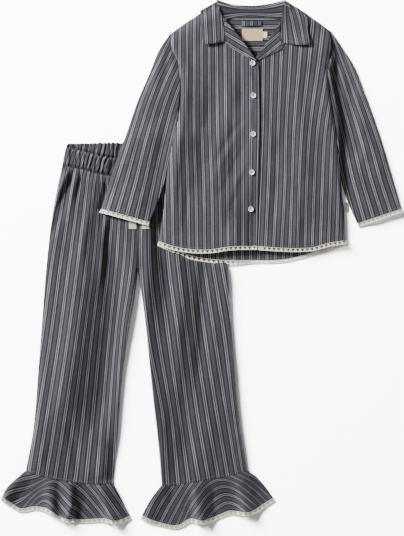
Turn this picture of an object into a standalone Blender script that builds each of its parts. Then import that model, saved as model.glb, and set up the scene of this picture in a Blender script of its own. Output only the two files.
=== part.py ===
"""A child's pyjama set laid flat: a camp-collar shirt that lies partly over wide trousers with flounced legs.

Lengths are in millimetres, and add_piece turns them into metres. X runs to the right, Y from the leg hems
to the collar, and Z up from the surface that the set lies on. Left and right are the wearer's, so the right
side is at -X. Every cloth piece is a grid of (s, t) between its four cut edges: s runs along its top, and t
from top to bottom.
"""

import math
from collections import namedtuple

import bmesh
import bpy
import numpy as np

# Driving dimensions
WALL = 1.2  # cotton with its seam allowances pressed
TRIM_WALL = 1.0  # lace, tape and labels
SEAM = 0.3  # what two sewn pieces keep between them
CUT_GAP = 0.6  # the same, where one edge has more points than the other
TRIM_GAP = 0.8  # between a scalloped hem and its lace
SHIRT_LOFT = 1.9  # how far the front lies off the back, past the seams
TROUSER_LOFT = 1.6
EDGE_ROUND = 26.0  # how far from a seam or fold the front comes up to its loft
SHIRT_LIFT = 6.3  # how high the trousers and their tape carry the shirt
LIFT_RAMP = 62.0  # how far beyond the trousers the shirt comes down to the floor
LACE_WIDTH = 8.0
BUTTON_RADIUS = 5.3
BUTTON_HEIGHT = 2.2
GATHERS = 22
GATHER_HEIGHT = 1.1
LOOP_RISE = 2.2
COLLAR_ROLL = 8.4  # height of the rolled edge at the back of the collar
FALL_SHARE = 0.7  # of the collar's back, how much the part that turns under reaches
LAYOUT_CENTRE = (-1.0, 4.8)  # the middle of the layout's outline

# Rows and columns of the grids
ARMHOLE_ROWS = 6
SIDE_ROWS = 9
YOKE_ROWS = 2
LEG_ROWS = 18
FLOUNCE_COLUMNS = 26
SLEEVE_LAYER = 6
FOLD_ARC = 3
AROUND = 2 * SLEEVE_LAYER + FOLD_ARC  # a folded piece's two layers and its fold

COLLECTION = "pyjama_set"
CLOTH = (0.105, 0.118, 0.150)
LACE = (0.80, 0.76, 0.66)
TAPE = (0.82, 0.79, 0.71)
BUTTON = (0.86, 0.86, 0.84)

# Shirt edges, (x, y) from the top down or from left to right
SHOULDER_RIGHT = ((-62, 467), (-20, 496), (16, 514))
SHOULDER_LEFT = ((184, 516), (226, 494), (256, 472))
ARMHOLE_RIGHT = ((-62, 467), (-62, 444), (-56, 424), (-48, 408), (-44, 380), (-44, 344))
ARMHOLE_LEFT = ((256, 472), (258, 444), (254, 418), (250, 398), (252, 370), (256, 344))
SIDE_RIGHT = ((-44, 344), (-51, 280), (-62, 234), (-71, 178), (-76, 120), (-86, 52))
SIDE_LEFT = ((256, 344), (262, 304), (272, 224), (280, 144), (285, 104), (288, 54))
SLEEVE_OUT_RIGHT = ((-62, 467), (-84, 434), (-104, 386), (-130, 324), (-150, 264), (-174, 198), (-199, 116))
SLEEVE_OUT_LEFT = ((256, 472), (278, 440), (298, 408), (324, 344), (348, 278), (370, 208), (397, 116))
SLEEVE_IN_RIGHT = ((-46, 344), (-54, 280), (-66, 232), (-78, 172), (-93, 124), (-105, 90))
SLEEVE_IN_LEFT = ((259, 344), (269, 296), (277, 222), (284, 164), (299, 116), (310, 87))
NECK_BACK = ((16, 514), (44, 499), (100, 501), (156, 499), (184, 516))
ROLL_RIGHT = ((44, 496), (76, 458), (88, 443), (95.5, 430))
ROLL_LEFT = ((106, 416), (120, 434), (136, 458), (156, 490))
HEM_FRONT_RIGHT = ((-86, 52), (-64, 44), (-24, 36), (12, 35), (56, 41), (92.5, 43))
HEM_FRONT_LEFT = ((100, 42), (136, 40), (196, 38), (216, 39), (256, 49), (288, 54))
HEM_BACK = ((-86, 50), (-64, 40), (-24, 24), (22, 16), (96, 14), (166, 16), (236, 34), (288, 52))
PLACKET_EDGE = ((112, 405), (115, 304), (113, 204), (109, 44))
PLACKET_WIDTH = 16.0
PLACKET_TOP = ((96.2, 417), (112, 405))
PLACKET_HEM = ((93, 43), (109, 43))
STAND_EDGE = ((101, 411), (103, 304), (101, 204), (100, 42))  # the left front's edge, under the placket
LAP_START = 16.0  # how far before the placket the right front starts to rise over the left

# Collar and lapel edges
COLLAR_TOP = ((34, 530), (56, 523), (98, 519), (140, 524), (164, 529))
COLLAR_SEAM = ((43, 495), (66, 498), (100, 499), (132, 498), (155, 495))
LEAF_RIGHT = dict(
    top=((-4, 512), (32, 532)),
    bottom=((2, 444), (12, 444), (45, 450)),
    left=((-4, 512), (-2, 476), (2, 444)),
    right=((32, 532), (36, 514), (40.5, 494), (45, 450)),
)
LEAF_LEFT = dict(
    top=((166, 532), (196, 515)),
    bottom=((159.5, 447), (196, 442), (214, 443)),
    left=((166, 532), (162, 514), (158, 494), (159.5, 447)),
    right=((196, 515), (208, 500), (211, 474), (214, 443)),
)
LAPEL_RIGHT = dict(
    top=((44, 495), (76, 457), (90, 438), (105, 417)),
    bottom=((46, 447), (67, 431), (88, 420), (109, 409.5)),
    left=((44, 495), (46, 447)),
    right=((105, 417), (109, 409.5)),
)
LAPEL_LEFT = dict(
    top=((112, 424), (120, 435), (136, 459), (155, 489)),
    bottom=((113.5, 416.5), (136, 423), (164, 435)),
    left=((112, 424), (113.5, 416.5)),
    right=((155, 489), (158.5, 446), (164, 435)),
)

# Small pieces of the shirt, (x0, y0, x1, y1)
HANGING_LOOP = (78, 482, 120, 491)
NECK_LABEL = (80, 452, 121, 476)
SIZE_TAB = (121.3, 458, 130, 470)
SIDE_LABEL = (284.8, 111, 291.8, 129)

# Trouser edges
WAIST_TOP = 248.0
WAIST_BACK = ((-271, 247), (-134, WAIST_TOP), (3, 247))
WAIST_FRONT = ((-273, 241), (-234, 230), (-204, 222), (-134, 216), (-64, 222), (-34, 230), (5, 241))
WAIST_SEAM_FRONT = ((-279, 204), (-234, 194), (-204, 186), (-134, 182), (-64, 186), (-34, 194), (7, 204))
WAIST_SEAM_BACK = ((-279, 206), (-134, 208), (7, 206))
CENTRE_SEAM = ((-130, 76), (-128, -6))  # below the waist seam's own middle point
OUTSIDE_RIGHT = (
    (-279, 204), (-290, 154), (-301, 90), (-309, 22), (-319, -98), (-328, -216), (-338, -330), (-352, -406),
)  # fmt: skip
OUTSIDE_LEFT = ((7, 204), (24, 134), (38, 70), (50, 6), (56, -90), (64, -186), (74, -298), (90, -406))
INSEAM_RIGHT = ((-128.2, -6), (-134, -56), (-146, -126), (-158, -206), (-165, -286), (-171, -366), (-178, -431))
INSEAM_LEFT = ((-127.6, -6), (-122, -46), (-116, -90), (-106, -186), (-96, -282), (-86, -370), (-81, -435))
CENTRE_SHARE = 6 / LEG_ROWS  # of the rows, those above the crotch
TIES = {"right": (-146, 76, -131, 180), "left": (-120, 76, -105, 180)}
ANKLE_RIGHT = ((-352, -406), (-300, -422), (-264, -428), (-204, -433), (-178, -431))
ANKLE_LEFT = ((-81, -435), (-64, -436), (-24, -430), (16, -423), (56, -416), (90, -406))
FLOUNCE_HEM_RIGHT = (
    (-399, -458), (-382, -470), (-364, -482), (-334, -478), (-304, -484), (-280, -499),
    (-244, -504), (-194, -502), (-168, -504), (-144, -497),
)  # fmt: skip
FLOUNCE_HEM_LEFT = (
    (-120, -496), (-84, -510), (-46, -515), (-26, -503), (2, -504), (28, -497),
    (52, -488), (96, -487), (126, -471), (142, -461),
)  # fmt: skip
FLOUNCE_SIDES_RIGHT = (
    ((-352, -406), (-364, -416), (-392, -444), (-399, -458)),
    ((-178, -431), (-162, -462), (-144, -497)),
)
FLOUNCE_SIDES_LEFT = (
    ((-81, -435), (-104, -466), (-120, -496)),
    ((90, -406), (106, -416), (126, -438), (142, -461)),
)

# A fold runs from (x0, y0) to (x1, y1). It rises by rise0 at its start and by rise1 at its end, and is a
# trough where that is below 0.
Fold = namedtuple("Fold", "x0 y0 x1 y1 width rise0 rise1")
TROUSER_FOLDS = (
    Fold(-260, 186, -282, 114, 9, -0.8, -0.3),
    Fold(-208, 184, -206, 104, 7, -1.3, -0.6),
    Fold(-196, 184, -197, 110, 8, 0.8, 0.4),
    Fold(-188, 104, -194, 34, 9, -0.8, -0.9),
    Fold(-194, 34, -218, -126, 14, -0.9, -1.2),
    Fold(-218, -126, -256, -356, 15, -1.2, -0.5),
    Fold(-244, 40, -270, -250, 20, 0.5, 0.9),
    Fold(-104, 104, -84, -86, 10, -0.6, -1.2),
    Fold(-52, -40, -20, -330, 22, 0.4, 0.9),
)
SHIRT_FOLDS = (
    Fold(88, 252, 46, 164, 12, -0.6, -0.9),
    Fold(60, 270, 14, 190, 14, 0.4, 0.7),
    Fold(20, 150, 60, 96, 14, -0.7, -0.4),
    Fold(-100, 372, -68, 270, 11, -0.8, -0.5),
    Fold(-118, 262, -104, 150, 13, 0.6, 0.4),
    Fold(286, 350, 318, 214, 13, 0.7, 0.4),
    Fold(300, 240, 344, 150, 12, -0.7, -0.5),
    Fold(216, 330, 236, 130, 18, -0.7, -0.4),
    Fold(160, 300, 172, 120, 20, 0.6, 0.5),
    Fold(-16, 330, -30, 130, 18, 0.6, 0.5),
)
FLOUNCE_FOLDS = (
    Fold(-338, -412, -372, -480, 15, 0.5, 4.6),
    Fold(-300, -424, -297, -490, 14, 0.6, 6.0),
    Fold(-246, -432, -212, -510, 18, 0.8, 7.0),
    Fold(-190, -434, -158, -504, 11, 0.5, 5.0),
    Fold(-68, -438, -90, -510, 13, 0.5, 4.6),
    Fold(-38, -434, -40, -516, 13, 0.8, 7.0),
    Fold(18, -424, 40, -494, 16, 0.6, 6.2),
    Fold(66, -416, 112, -482, 14, 0.8, 6.6),
)

Button = namedtuple("Button", "x y")
BUTTONS = (Button(101, 406.5), Button(102.6, 341.5), Button(102, 265), Button(99.4, 188.5), Button(97.6, 115))


# Shares of the radius and of the height, from the middle of the top to the middle of the underside
BUTTON_PROFILE = ((0, 0.62), (0.62, 0.66), (0.84, 1), (1, 0.72), (1, 0.3), (0.8, 0), (0, 0))


def path(points):
    """A function of u, from 0 to 1, that follows one smooth curve through the points."""
    points = np.array(points, float)
    along = np.concatenate([[0], np.cumsum(np.linalg.norm(np.diff(points, axis=0), axis=1))])
    along /= along[-1]
    slopes = np.gradient(points, along, axis=0)

    def at(u):
        u = np.asarray(u, float)
        i = np.clip(np.searchsorted(along, u, side="right") - 1, 0, len(along) - 2)
        span = (along[i + 1] - along[i])[..., None]
        f = ((u - along[i])[..., None]) / span
        start, end = points[i], points[i + 1]
        bend0, bend1 = slopes[i] * span, slopes[i + 1] * span
        return (
            (2 * f**3 - 3 * f**2 + 1) * start
            + (f**3 - 2 * f**2 + f) * bend0
            + (3 * f**2 - 2 * f**3) * end
            + (f**3 - f**2) * bend1
        )

    return at


def joined(first, second, share):
    """One edge made of two: first up to that share of it, then second."""

    def at(u):
        u = np.asarray(u, float)
        start, end = first(np.clip(u / share, 0, 1)), second(np.clip((u - share) / (1 - share), 0, 1))
        return np.where((u <= share)[..., None], start, end)

    return at


def part_of(whole, low, high):
    return lambda u: whole(low + np.asarray(u, float) * (high - low))


def moved(edge, x, y):
    return lambda u: edge(u) + np.array((x, y))


def beside(edge, distance):
    """The edge moved sideways, to the right of its own direction."""

    def at(u):
        step = edge(np.clip(u + 0.01, 0, 1)) - edge(np.clip(u - 0.01, 0, 1))
        step /= np.linalg.norm(step, axis=-1, keepdims=True)
        return edge(u) + np.stack([step[..., 1], -step[..., 0]], axis=-1) * distance

    return at


def fitted(edge, start, end):
    """The edge, eased so that it runs from start to end."""
    off0, off1 = start - edge(0.0), end - edge(1.0)
    return lambda u: edge(u) + (1 - np.asarray(u)[..., None]) * off0 + np.asarray(u)[..., None] * off1


def patch(top, bottom, left, right):
    """A function of (s, t) that fills the space between four edges, with the sides fitted to the other two."""
    left, right = fitted(left, top(0.0), bottom(0.0)), fitted(right, top(1.0), bottom(1.0))

    def at(s, t):
        f, g = s[..., None], t[..., None]
        between = (1 - f) * left(t) + f * right(t) + (1 - g) * top(s) + g * bottom(s)
        ends = [edge(np.array([0.0, 1.0])) for edge in (top, bottom)]
        corners = [(1 - f) * e[0] + f * e[1] for e in ends]
        return between - (1 - g) * corners[0] - g * corners[1]

    return at


def strip(edge, width):
    """A function of (s, t) for a strip sewn along an edge, on the right of its direction."""
    start, end = beside(edge, TRIM_GAP), beside(edge, width)
    return lambda s, t: start(s) + (end(s) - start(s)) * t[..., None]


def rectangle(x0, y0, x1, y1):
    return lambda s, t: np.stack([x0 + (x1 - x0) * s, y1 + (y0 - y1) * t], axis=-1)


def smooth(u):
    u = np.clip(u, 0, 1)
    return u * u * (3 - 2 * u)


def to_segments(at, starts, ends):
    """How far each point is from the nearest of the segments."""
    best = np.full(at.shape[:-1], np.inf)
    for start, end in zip(starts, ends, strict=True):
        run = end - start
        f = np.clip(((at - start) @ run) / (run @ run), 0, 1)
        best = np.minimum(best, np.linalg.norm(at - start - f[..., None] * run, axis=-1))
    return best


def loft(at, seams):
    """0 on the seams and folds, and 1 where the cloth has come up to its loft."""
    best = np.full(at.shape[:-1], np.inf)
    for seam in seams:
        line = path(seam)(np.linspace(0, 1, 25))
        best = np.minimum(best, to_segments(at, line[:-1], line[1:]))
    u = np.clip(best / EDGE_ROUND, 0, 1)
    return 1 - (1 - u) ** 2


def fold_height(at, folds):
    total = np.zeros(at.shape[:-1])
    for fold in folds:
        start, run = np.array((fold.x0, fold.y0)), np.array((fold.x1 - fold.x0, fold.y1 - fold.y0))
        f = np.clip(((at - start) @ run) / (run @ run), 0, 1)
        far = np.linalg.norm(at - start - f[..., None] * run, axis=-1)
        total += (fold.rise0 + (fold.rise1 - fold.rise0) * f) * np.exp(-((far / fold.width) ** 2))
    return total


def gather(at):
    """The height of the waistband's gathers, from 0 to 1."""
    start, end = WAIST_BACK[0][0], WAIST_BACK[-1][0]
    return 0.5 - 0.5 * np.cos((at[..., 0] - start) / (end - start) * math.tau * GATHERS)


def trouser_back(at):
    return np.zeros(at.shape[:-1])


def trouser_front(at):
    room = TROUSER_LOFT * loft(at, (OUTSIDE_RIGHT, OUTSIDE_LEFT, INSEAM_RIGHT, INSEAM_LEFT))
    return WALL + SEAM + np.maximum(room + fold_height(at, TROUSER_FOLDS), 0)


def waistband_back(at):
    return 0.6 * GATHER_HEIGHT * gather(at)


def waistband_front(at):
    return WALL + SEAM + 0.6 * GATHER_HEIGHT + GATHER_HEIGHT * gather(at)


def flounce_back(at):
    return 0.48 * fold_height(at, FLOUNCE_FOLDS)


def flounce_front(at):
    return WALL + SEAM + 2 * flounce_back(at)


def ground(at):
    """What the shirt lies on: the trousers where they are, and the floor beyond a ramp."""
    edge = np.array(OUTSIDE_LEFT)[::-1]
    past_side = at[..., 0] - np.interp(at[..., 1], edge[:, 1], edge[:, 0]) - 2
    past_waist = at[..., 1] - WAIST_TOP - 2
    return SHIRT_LIFT * smooth(1 - past_side / LIFT_RAMP) * smooth(1 - past_waist / LIFT_RAMP)


def shirt_front(at):
    seams = (SHOULDER_RIGHT, SHOULDER_LEFT, SIDE_RIGHT, SIDE_LEFT)
    seams += (SLEEVE_OUT_RIGHT, SLEEVE_OUT_LEFT, SLEEVE_IN_RIGHT, SLEEVE_IN_LEFT)
    room = SHIRT_LOFT * loft(at, seams) + fold_height(at, SHIRT_FOLDS)
    return ground(at) + WALL + SEAM + np.maximum(room, 0)


def lapped_front(at):
    """The right front, which rises over the left one as it nears the placket."""
    edge = np.array(PLACKET_EDGE)[::-1]
    seam = np.interp(at[..., 1], edge[:, 1], edge[:, 0]) - PLACKET_WIDTH
    return shirt_front(at) + (WALL + SEAM) * smooth((at[..., 0] - seam + LAP_START) / LAP_START)


def near(at, edge, width):
    """1 on the edge, falling to 0 past that width."""
    line = path(edge)(np.linspace(0, 1, 17))
    return np.exp(-((to_segments(at, line[:-1], line[1:]) / width) ** 2))


def lapel_right(at):
    return lapped_front(at) + WALL + SEAM + 1.6 * near(at, LAPEL_RIGHT["top"], 8)


def lapel_left(at):
    return shirt_front(at) + WALL + SEAM + 1.6 * near(at, LAPEL_LEFT["top"], 8)


def leaf_right(at):
    return shirt_front(at) + WALL + CUT_GAP + 2.6 * near(at, LEAF_RIGHT["right"][:3], 9)


def leaf_left(at):
    return shirt_front(at) + WALL + CUT_GAP + 2.6 * near(at, LEAF_LEFT["left"][:3], 9)


def on_yoke(at):
    return ground(at) + WALL + SEAM


def loop_height(at):
    """The hanging loop stands off the yoke between its two sewn ends."""
    start, _, end, _ = HANGING_LOOP
    return on_yoke(at) + LOOP_RISE * np.sin(np.clip((at[..., 0] - start) / (end - start), 0, 1) * math.pi)


def tape_height(at):
    return np.maximum(trouser_front(at), WALL + SEAM + TROUSER_LOFT) + WALL + SEAM


def flat(place, low, wall=WALL):
    """The shape of a sheet whose underside is at low and whose wall is upright."""

    def bend(s, t, k):
        at = place(s, t)
        return np.concatenate([at, (low(at) + wall * k)[..., None]], axis=-1)

    return bend


def folded(place, under, over, share=1.0, wall=WALL):
    """The shape of a cloth folded at s = 0: an upper layer at over, a fold, and a lower layer at under.

    The lower layer reaches that share of the way across. In the slab, s runs along the lower layer to the
    fold, round it and back along the upper layer, and k from the inside of the fold to its outside.
    """

    def bend(s, t, k):
        step = np.rint(s * AROUND)
        past = step - SLEEVE_LAYER - FOLD_ARC
        lower, upper = step <= SLEEVE_LAYER, past >= 0
        across = np.where(lower, share * (1 - step / SLEEVE_LAYER), past / SLEEVE_LAYER)
        at = place(np.where(lower | upper, across, 0), t)
        edge, inner = place(np.zeros_like(t), t), place(np.full_like(t, 0.04), t)
        out = (edge - inner) / np.linalg.norm(edge - inner, axis=-1, keepdims=True)
        floor, roof = under(edge) + wall, over(edge)
        angle = np.clip((step - SLEEVE_LAYER) / FOLD_ARC, 0, 1) * math.pi
        radius = (roof - floor) / 2 + wall * k
        turned = edge + out * (radius * np.sin(angle))[..., None]
        height = np.where(lower, under(at) + wall * (1 - k), over(at) + wall * k)
        height = np.where(lower | upper, height, (floor + roof) / 2 - radius * np.cos(angle))
        return np.concatenate([np.where((lower | upper)[..., None], at, turned), height[..., None]], axis=-1)

    return bend


def principled(name, colour, roughness):
    material = bpy.data.materials.new(name)
    material.use_nodes = True
    shader = material.node_tree.nodes["Principled BSDF"]
    shader.inputs["Base Color"].default_value = (*colour, 1)
    shader.inputs["Roughness"].default_value = roughness
    shader.inputs["Metallic"].default_value = 0
    return material


def add_piece(name, bend, across, along, colour=CLOTH, roughness=0.85):
    """A grid of across by along faces, extruded to a slab and bent into a cloth piece."""
    slab = bmesh.new()
    bmesh.ops.create_grid(slab, x_segments=across, y_segments=along, size=0.5)
    raised = bmesh.ops.extrude_face_region(slab, geom=slab.faces[:])["geom"]
    bmesh.ops.translate(slab, vec=(0, 0, 1), verts=[v for v in raised if isinstance(v, bmesh.types.BMVert)])
    slots = np.array([v.co for v in slab.verts], float)
    places = bend(slots[:, 0] + 0.5, 0.5 - slots[:, 1], slots[:, 2])
    places[:, :2] -= LAYOUT_CENTRE
    for vertex, place in zip(slab.verts, places / 1000, strict=True):
        vertex.co = place
    bmesh.ops.recalc_face_normals(slab, faces=slab.faces[:])
    mesh = bpy.data.meshes.new(name)
    slab.to_mesh(mesh)
    slab.free()
    mesh.materials.append(principled(name, colour, roughness))
    piece = bpy.data.objects.new(name, mesh)
    bpy.data.collections[COLLECTION].objects.link(piece)
    mesh.shade_smooth()
    mesh.set_sharp_from_angle(angle=math.radians(40))
    return piece


def add_lace(name, bend, across):
    add_piece(name, bend, across, 1, LACE, 0.9)


def add_label(name, corners):
    add_piece(name, flat(rectangle(*corners), on_yoke, TRIM_WALL), 2, 2, TAPE, 0.8)


def add_button(name, x, y, low):
    """A turned disc with a raised rim, lying on the placket."""
    places = [(r * BUTTON_RADIUS / 1000, 0, h * BUTTON_HEIGHT / 1000) for r, h in BUTTON_PROFILE]
    mesh = bpy.data.meshes.new(name)
    mesh.from_pydata(places, [(i, i + 1) for i in range(len(places) - 1)], [])
    button = bpy.data.objects.new(name, mesh)
    bpy.data.collections[COLLECTION].objects.link(button)
    centre = (x - LAYOUT_CENTRE[0], y - LAYOUT_CENTRE[1])
    button.location = (centre[0] / 1000, centre[1] / 1000, (low(np.array((x, y), float)) + SEAM) / 1000)
    turn = button.modifiers.new("turned", "SCREW")
    turn.steps = turn.render_steps = 14
    turn.use_merge_vertices = True
    turn.merge_threshold = 1e-5
    mesh.materials.append(principled(name, BUTTON, 0.3))


def add_leg(side, outside, inseam, ankle, flounce_hem, flounce_sides, on_left_of_layout):
    """The front and back panel of one leg, its flounce and the flounce's lace."""
    clear = -SEAM / 2 if on_left_of_layout else SEAM / 2
    hem = path(flounce_hem)
    flounce = patch(moved(path(ankle), 0, -CUT_GAP), hem, *(path(edge) for edge in flounce_sides))
    for layer, low, waist, columns in (
        ("back", trouser_back, WAIST_SEAM_BACK, 4),
        ("front", trouser_front, WAIST_SEAM_FRONT, 9),
    ):
        middle = len(waist) // 2
        top = path(waist[: middle + 1] if on_left_of_layout else waist[middle:])
        centre_seam = moved(path((waist[middle], *CENTRE_SEAM)), clear, 0)
        edges = [path(outside), joined(centre_seam, path(inseam), CENTRE_SHARE)]
        leg = patch(moved(top, clear, -CUT_GAP), path(ankle), *edges[:: 1 if on_left_of_layout else -1])
        add_piece(f"trousers_{layer}_{side}", flat(leg, low), columns, LEG_ROWS)
    for layer, low in (("back", flounce_back), ("front", flounce_front)):
        add_piece(f"flounce_{layer}_{side}", flat(flounce, low), FLOUNCE_COLUMNS, 4)
        add_lace(f"lace_flounce_{layer}_{side}", flat(strip(hem, LACE_WIDTH), low, TRIM_WALL), FLOUNCE_COLUMNS)


def add_trousers():
    add_leg("right", OUTSIDE_RIGHT, INSEAM_RIGHT, ANKLE_RIGHT, FLOUNCE_HEM_RIGHT, FLOUNCE_SIDES_RIGHT, True)
    add_leg("left", OUTSIDE_LEFT, INSEAM_LEFT, ANKLE_LEFT, FLOUNCE_HEM_LEFT, FLOUNCE_SIDES_LEFT, False)
    for name, low, top, seam, rows in (
        ("waistband_back", waistband_back, WAIST_BACK, WAIST_SEAM_BACK, 1),
        ("waistband_front", waistband_front, WAIST_FRONT, WAIST_SEAM_FRONT, 2),
    ):
        sides = [path((top[end], seam[end])) for end in (0, -1)]
        add_piece(name, flat(patch(path(top), path(seam), *sides), low), 4 * GATHERS, rows)
    for side, corners in TIES.items():
        add_piece(f"tie_{side}", flat(rectangle(*corners), tape_height, TRIM_WALL), 2, 8, TAPE)


def add_shirt_body():
    rows = ARMHOLE_ROWS + SIDE_ROWS
    edges = {
        side: joined(path(armhole), path(seam), ARMHOLE_ROWS / rows)
        for side, armhole, seam in (("right", ARMHOLE_RIGHT, SIDE_RIGHT), ("left", ARMHOLE_LEFT, SIDE_LEFT))
    }
    placket_edge = path(PLACKET_EDGE)
    placket_seam = moved(placket_edge, -PLACKET_WIDTH, 0)
    top_right = path(SHOULDER_RIGHT + ROLL_RIGHT)
    right = patch(top_right, path(HEM_FRONT_RIGHT), edges["right"], moved(placket_seam, -CUT_GAP, 0))
    add_piece("shirt_front_right", flat(right, lapped_front), 8, rows)
    top_left = path((STAND_EDGE[0], *ROLL_LEFT[1:], *SHOULDER_LEFT))
    left = patch(top_left, path(HEM_FRONT_LEFT), path(STAND_EDGE), edges["left"])
    add_piece("shirt_front_left", flat(left, shirt_front), 8, rows)
    band = patch(path(PLACKET_TOP), path(PLACKET_HEM), moved(placket_seam, SEAM, 0), placket_edge)
    add_piece("placket", flat(band, lapped_front), 2, rows)

    seam_at = YOKE_ROWS / ARMHOLE_ROWS
    seam_ends = [path(armhole)(seam_at) for armhole in (ARMHOLE_RIGHT, ARMHOLE_LEFT)]
    yoke_sides = [part_of(path(armhole), 0, seam_at) for armhole in (ARMHOLE_RIGHT, ARMHOLE_LEFT)]
    yoke_top = path(SHOULDER_RIGHT[:-1] + NECK_BACK + SHOULDER_LEFT[1:])
    yoke_seam = path(seam_ends)
    add_piece("back_yoke", flat(patch(yoke_top, moved(yoke_seam, 0, SEAM), *yoke_sides), ground), 14, YOKE_ROWS)
    start = YOKE_ROWS / rows
    back_sides = [part_of(edges[side], start, 1) for side in ("right", "left")]
    back = patch(yoke_seam, path(HEM_BACK), *back_sides)
    add_piece("shirt_back", flat(back, ground), 12, rows - YOKE_ROWS)


def add_sleeves():
    for side, armhole, outer, inner, clear in (
        ("right", ARMHOLE_RIGHT, SLEEVE_OUT_RIGHT, SLEEVE_IN_RIGHT, -CUT_GAP),
        ("left", ARMHOLE_LEFT, SLEEVE_OUT_LEFT, SLEEVE_IN_LEFT, CUT_GAP),
    ):
        cuff = path((outer[-1], inner[-1]))
        sleeve = patch(moved(path(armhole), clear, 0), cuff, path(outer), path(inner))
        add_piece(f"sleeve_{side}", folded(sleeve, ground, shirt_front), AROUND, 12)
        width = LACE_WIDTH if side == "right" else -LACE_WIDTH
        start, end = beside(cuff, math.copysign(CUT_GAP, width)), beside(cuff, width)
        ends = [path((start(u), end(u))) for u in (0.0, 1.0)]
        band = patch(start, end, *ends)
        add_lace(f"lace_cuff_{side}", folded(band, ground, shirt_front, wall=TRIM_WALL), AROUND)


def add_collar():
    sides = [path((COLLAR_TOP[i], COLLAR_SEAM[i])) for i in (0, -1)]
    stand = patch(path(COLLAR_TOP), path(COLLAR_SEAM), *sides)

    def across_first(s, t):
        return stand(t, s)

    def roll(at):
        """The collar's inner face comes up from the neck seam to its rolled top."""
        line = path(COLLAR_SEAM)(np.linspace(0, 1, 17))
        up = smooth(to_segments(at, line[:-1], line[1:]) / 27)
        return on_yoke(at) + (COLLAR_ROLL - 2 * WALL - SEAM) * up

    add_piece("collar_back", folded(across_first, ground, roll, FALL_SHARE), AROUND, 12)
    for name, edges, low, columns, rows in (
        ("collar_leaf_right", LEAF_RIGHT, leaf_right, 5, 6),
        ("collar_leaf_left", LEAF_LEFT, leaf_left, 5, 6),
        ("lapel_right", LAPEL_RIGHT, lapel_right, 7, 3),
        ("lapel_left", LAPEL_LEFT, lapel_left, 7, 3),
    ):
        shape = patch(*(path(edges[edge]) for edge in ("top", "bottom", "left", "right")))
        add_piece(name, flat(shape, low), columns, rows)


def add_shirt_trims():
    front = path(HEM_FRONT_RIGHT[:-1] + ((109, 42.4),))
    add_lace("lace_hem_front_right", flat(strip(front, LACE_WIDTH), lapped_front, TRIM_WALL), 12)
    left_front = path(((111, 42), *HEM_FRONT_LEFT[1:]))
    add_lace("lace_hem_front_left", flat(strip(left_front, LACE_WIDTH), shirt_front, TRIM_WALL), 12)
    add_lace("lace_hem_back", flat(strip(path(HEM_BACK), LACE_WIDTH), ground, TRIM_WALL), 24)
    add_piece("hanging_loop", flat(rectangle(*HANGING_LOOP), loop_height, TRIM_WALL), 8, 1)
    add_label("neck_label", NECK_LABEL)
    add_label("size_tab", SIZE_TAB)
    add_label("side_label", SIDE_LABEL)
    for number, button in enumerate(BUTTONS, 1):
        add_button(f"button_{number}", button.x, button.y, lambda at: lapped_front(at) + WALL)


def main():
    for old in list(bpy.data.objects):
        bpy.data.objects.remove(old, do_unlink=True)
    bpy.context.scene.collection.children.link(bpy.data.collections.new(COLLECTION))
    add_trousers()
    add_shirt_body()
    add_sleeves()
    add_collar()
    add_shirt_trims()


main()
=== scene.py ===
"""The look of a child's pyjama set laid flat: striped cotton shirt and flounced trousers, lace, labels and buttons.

Lengths are in millimetres until shape() turns them into metres. X runs to the right, Y from the leg hems to the
collar, Z up from the surface. Left and right are the wearer's, so the right side is at -X. Every cloth piece is a
grid of (s, t) between its cut edges: s runs along its top, and t from top to bottom.
"""

import math
from collections import namedtuple

import bpy
import numpy as np
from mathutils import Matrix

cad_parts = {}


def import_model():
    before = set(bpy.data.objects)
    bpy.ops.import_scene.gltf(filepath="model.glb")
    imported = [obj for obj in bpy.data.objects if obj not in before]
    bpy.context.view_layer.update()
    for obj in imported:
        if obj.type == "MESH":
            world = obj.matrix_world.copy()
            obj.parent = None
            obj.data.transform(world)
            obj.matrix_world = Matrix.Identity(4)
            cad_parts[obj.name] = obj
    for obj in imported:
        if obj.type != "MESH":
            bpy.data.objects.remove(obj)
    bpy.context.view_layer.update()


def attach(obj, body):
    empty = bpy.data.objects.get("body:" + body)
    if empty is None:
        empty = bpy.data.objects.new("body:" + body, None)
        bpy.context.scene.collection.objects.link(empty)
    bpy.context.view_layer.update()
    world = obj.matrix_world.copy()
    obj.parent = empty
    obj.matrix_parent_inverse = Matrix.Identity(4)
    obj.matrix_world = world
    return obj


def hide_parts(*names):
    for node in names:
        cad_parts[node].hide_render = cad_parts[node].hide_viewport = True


# Driving sizes, near those of the frame's solids
WALL = 1.1  # cotton
TRIM_WALL = 0.9  # lace, tape and labels
SEAM = 0.3  # between a piece and the one it lies on
CUT_GAP = 0.5  # between two pieces, edge to edge
LAYOUT_CENTRE = (-1.0, 4.8)  # what lies at the scene's origin
SHIRT_LIFT = 6.4  # how high the trousers carry the shirt
LIFT_RAMP = 62.0  # how far beyond them it comes down to the floor
LACE_WIDTH = 8.0
BUTTON_RADIUS = 5.1
BUTTON_HEIGHT = 2.3
BUTTON_SIDES = 40
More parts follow.
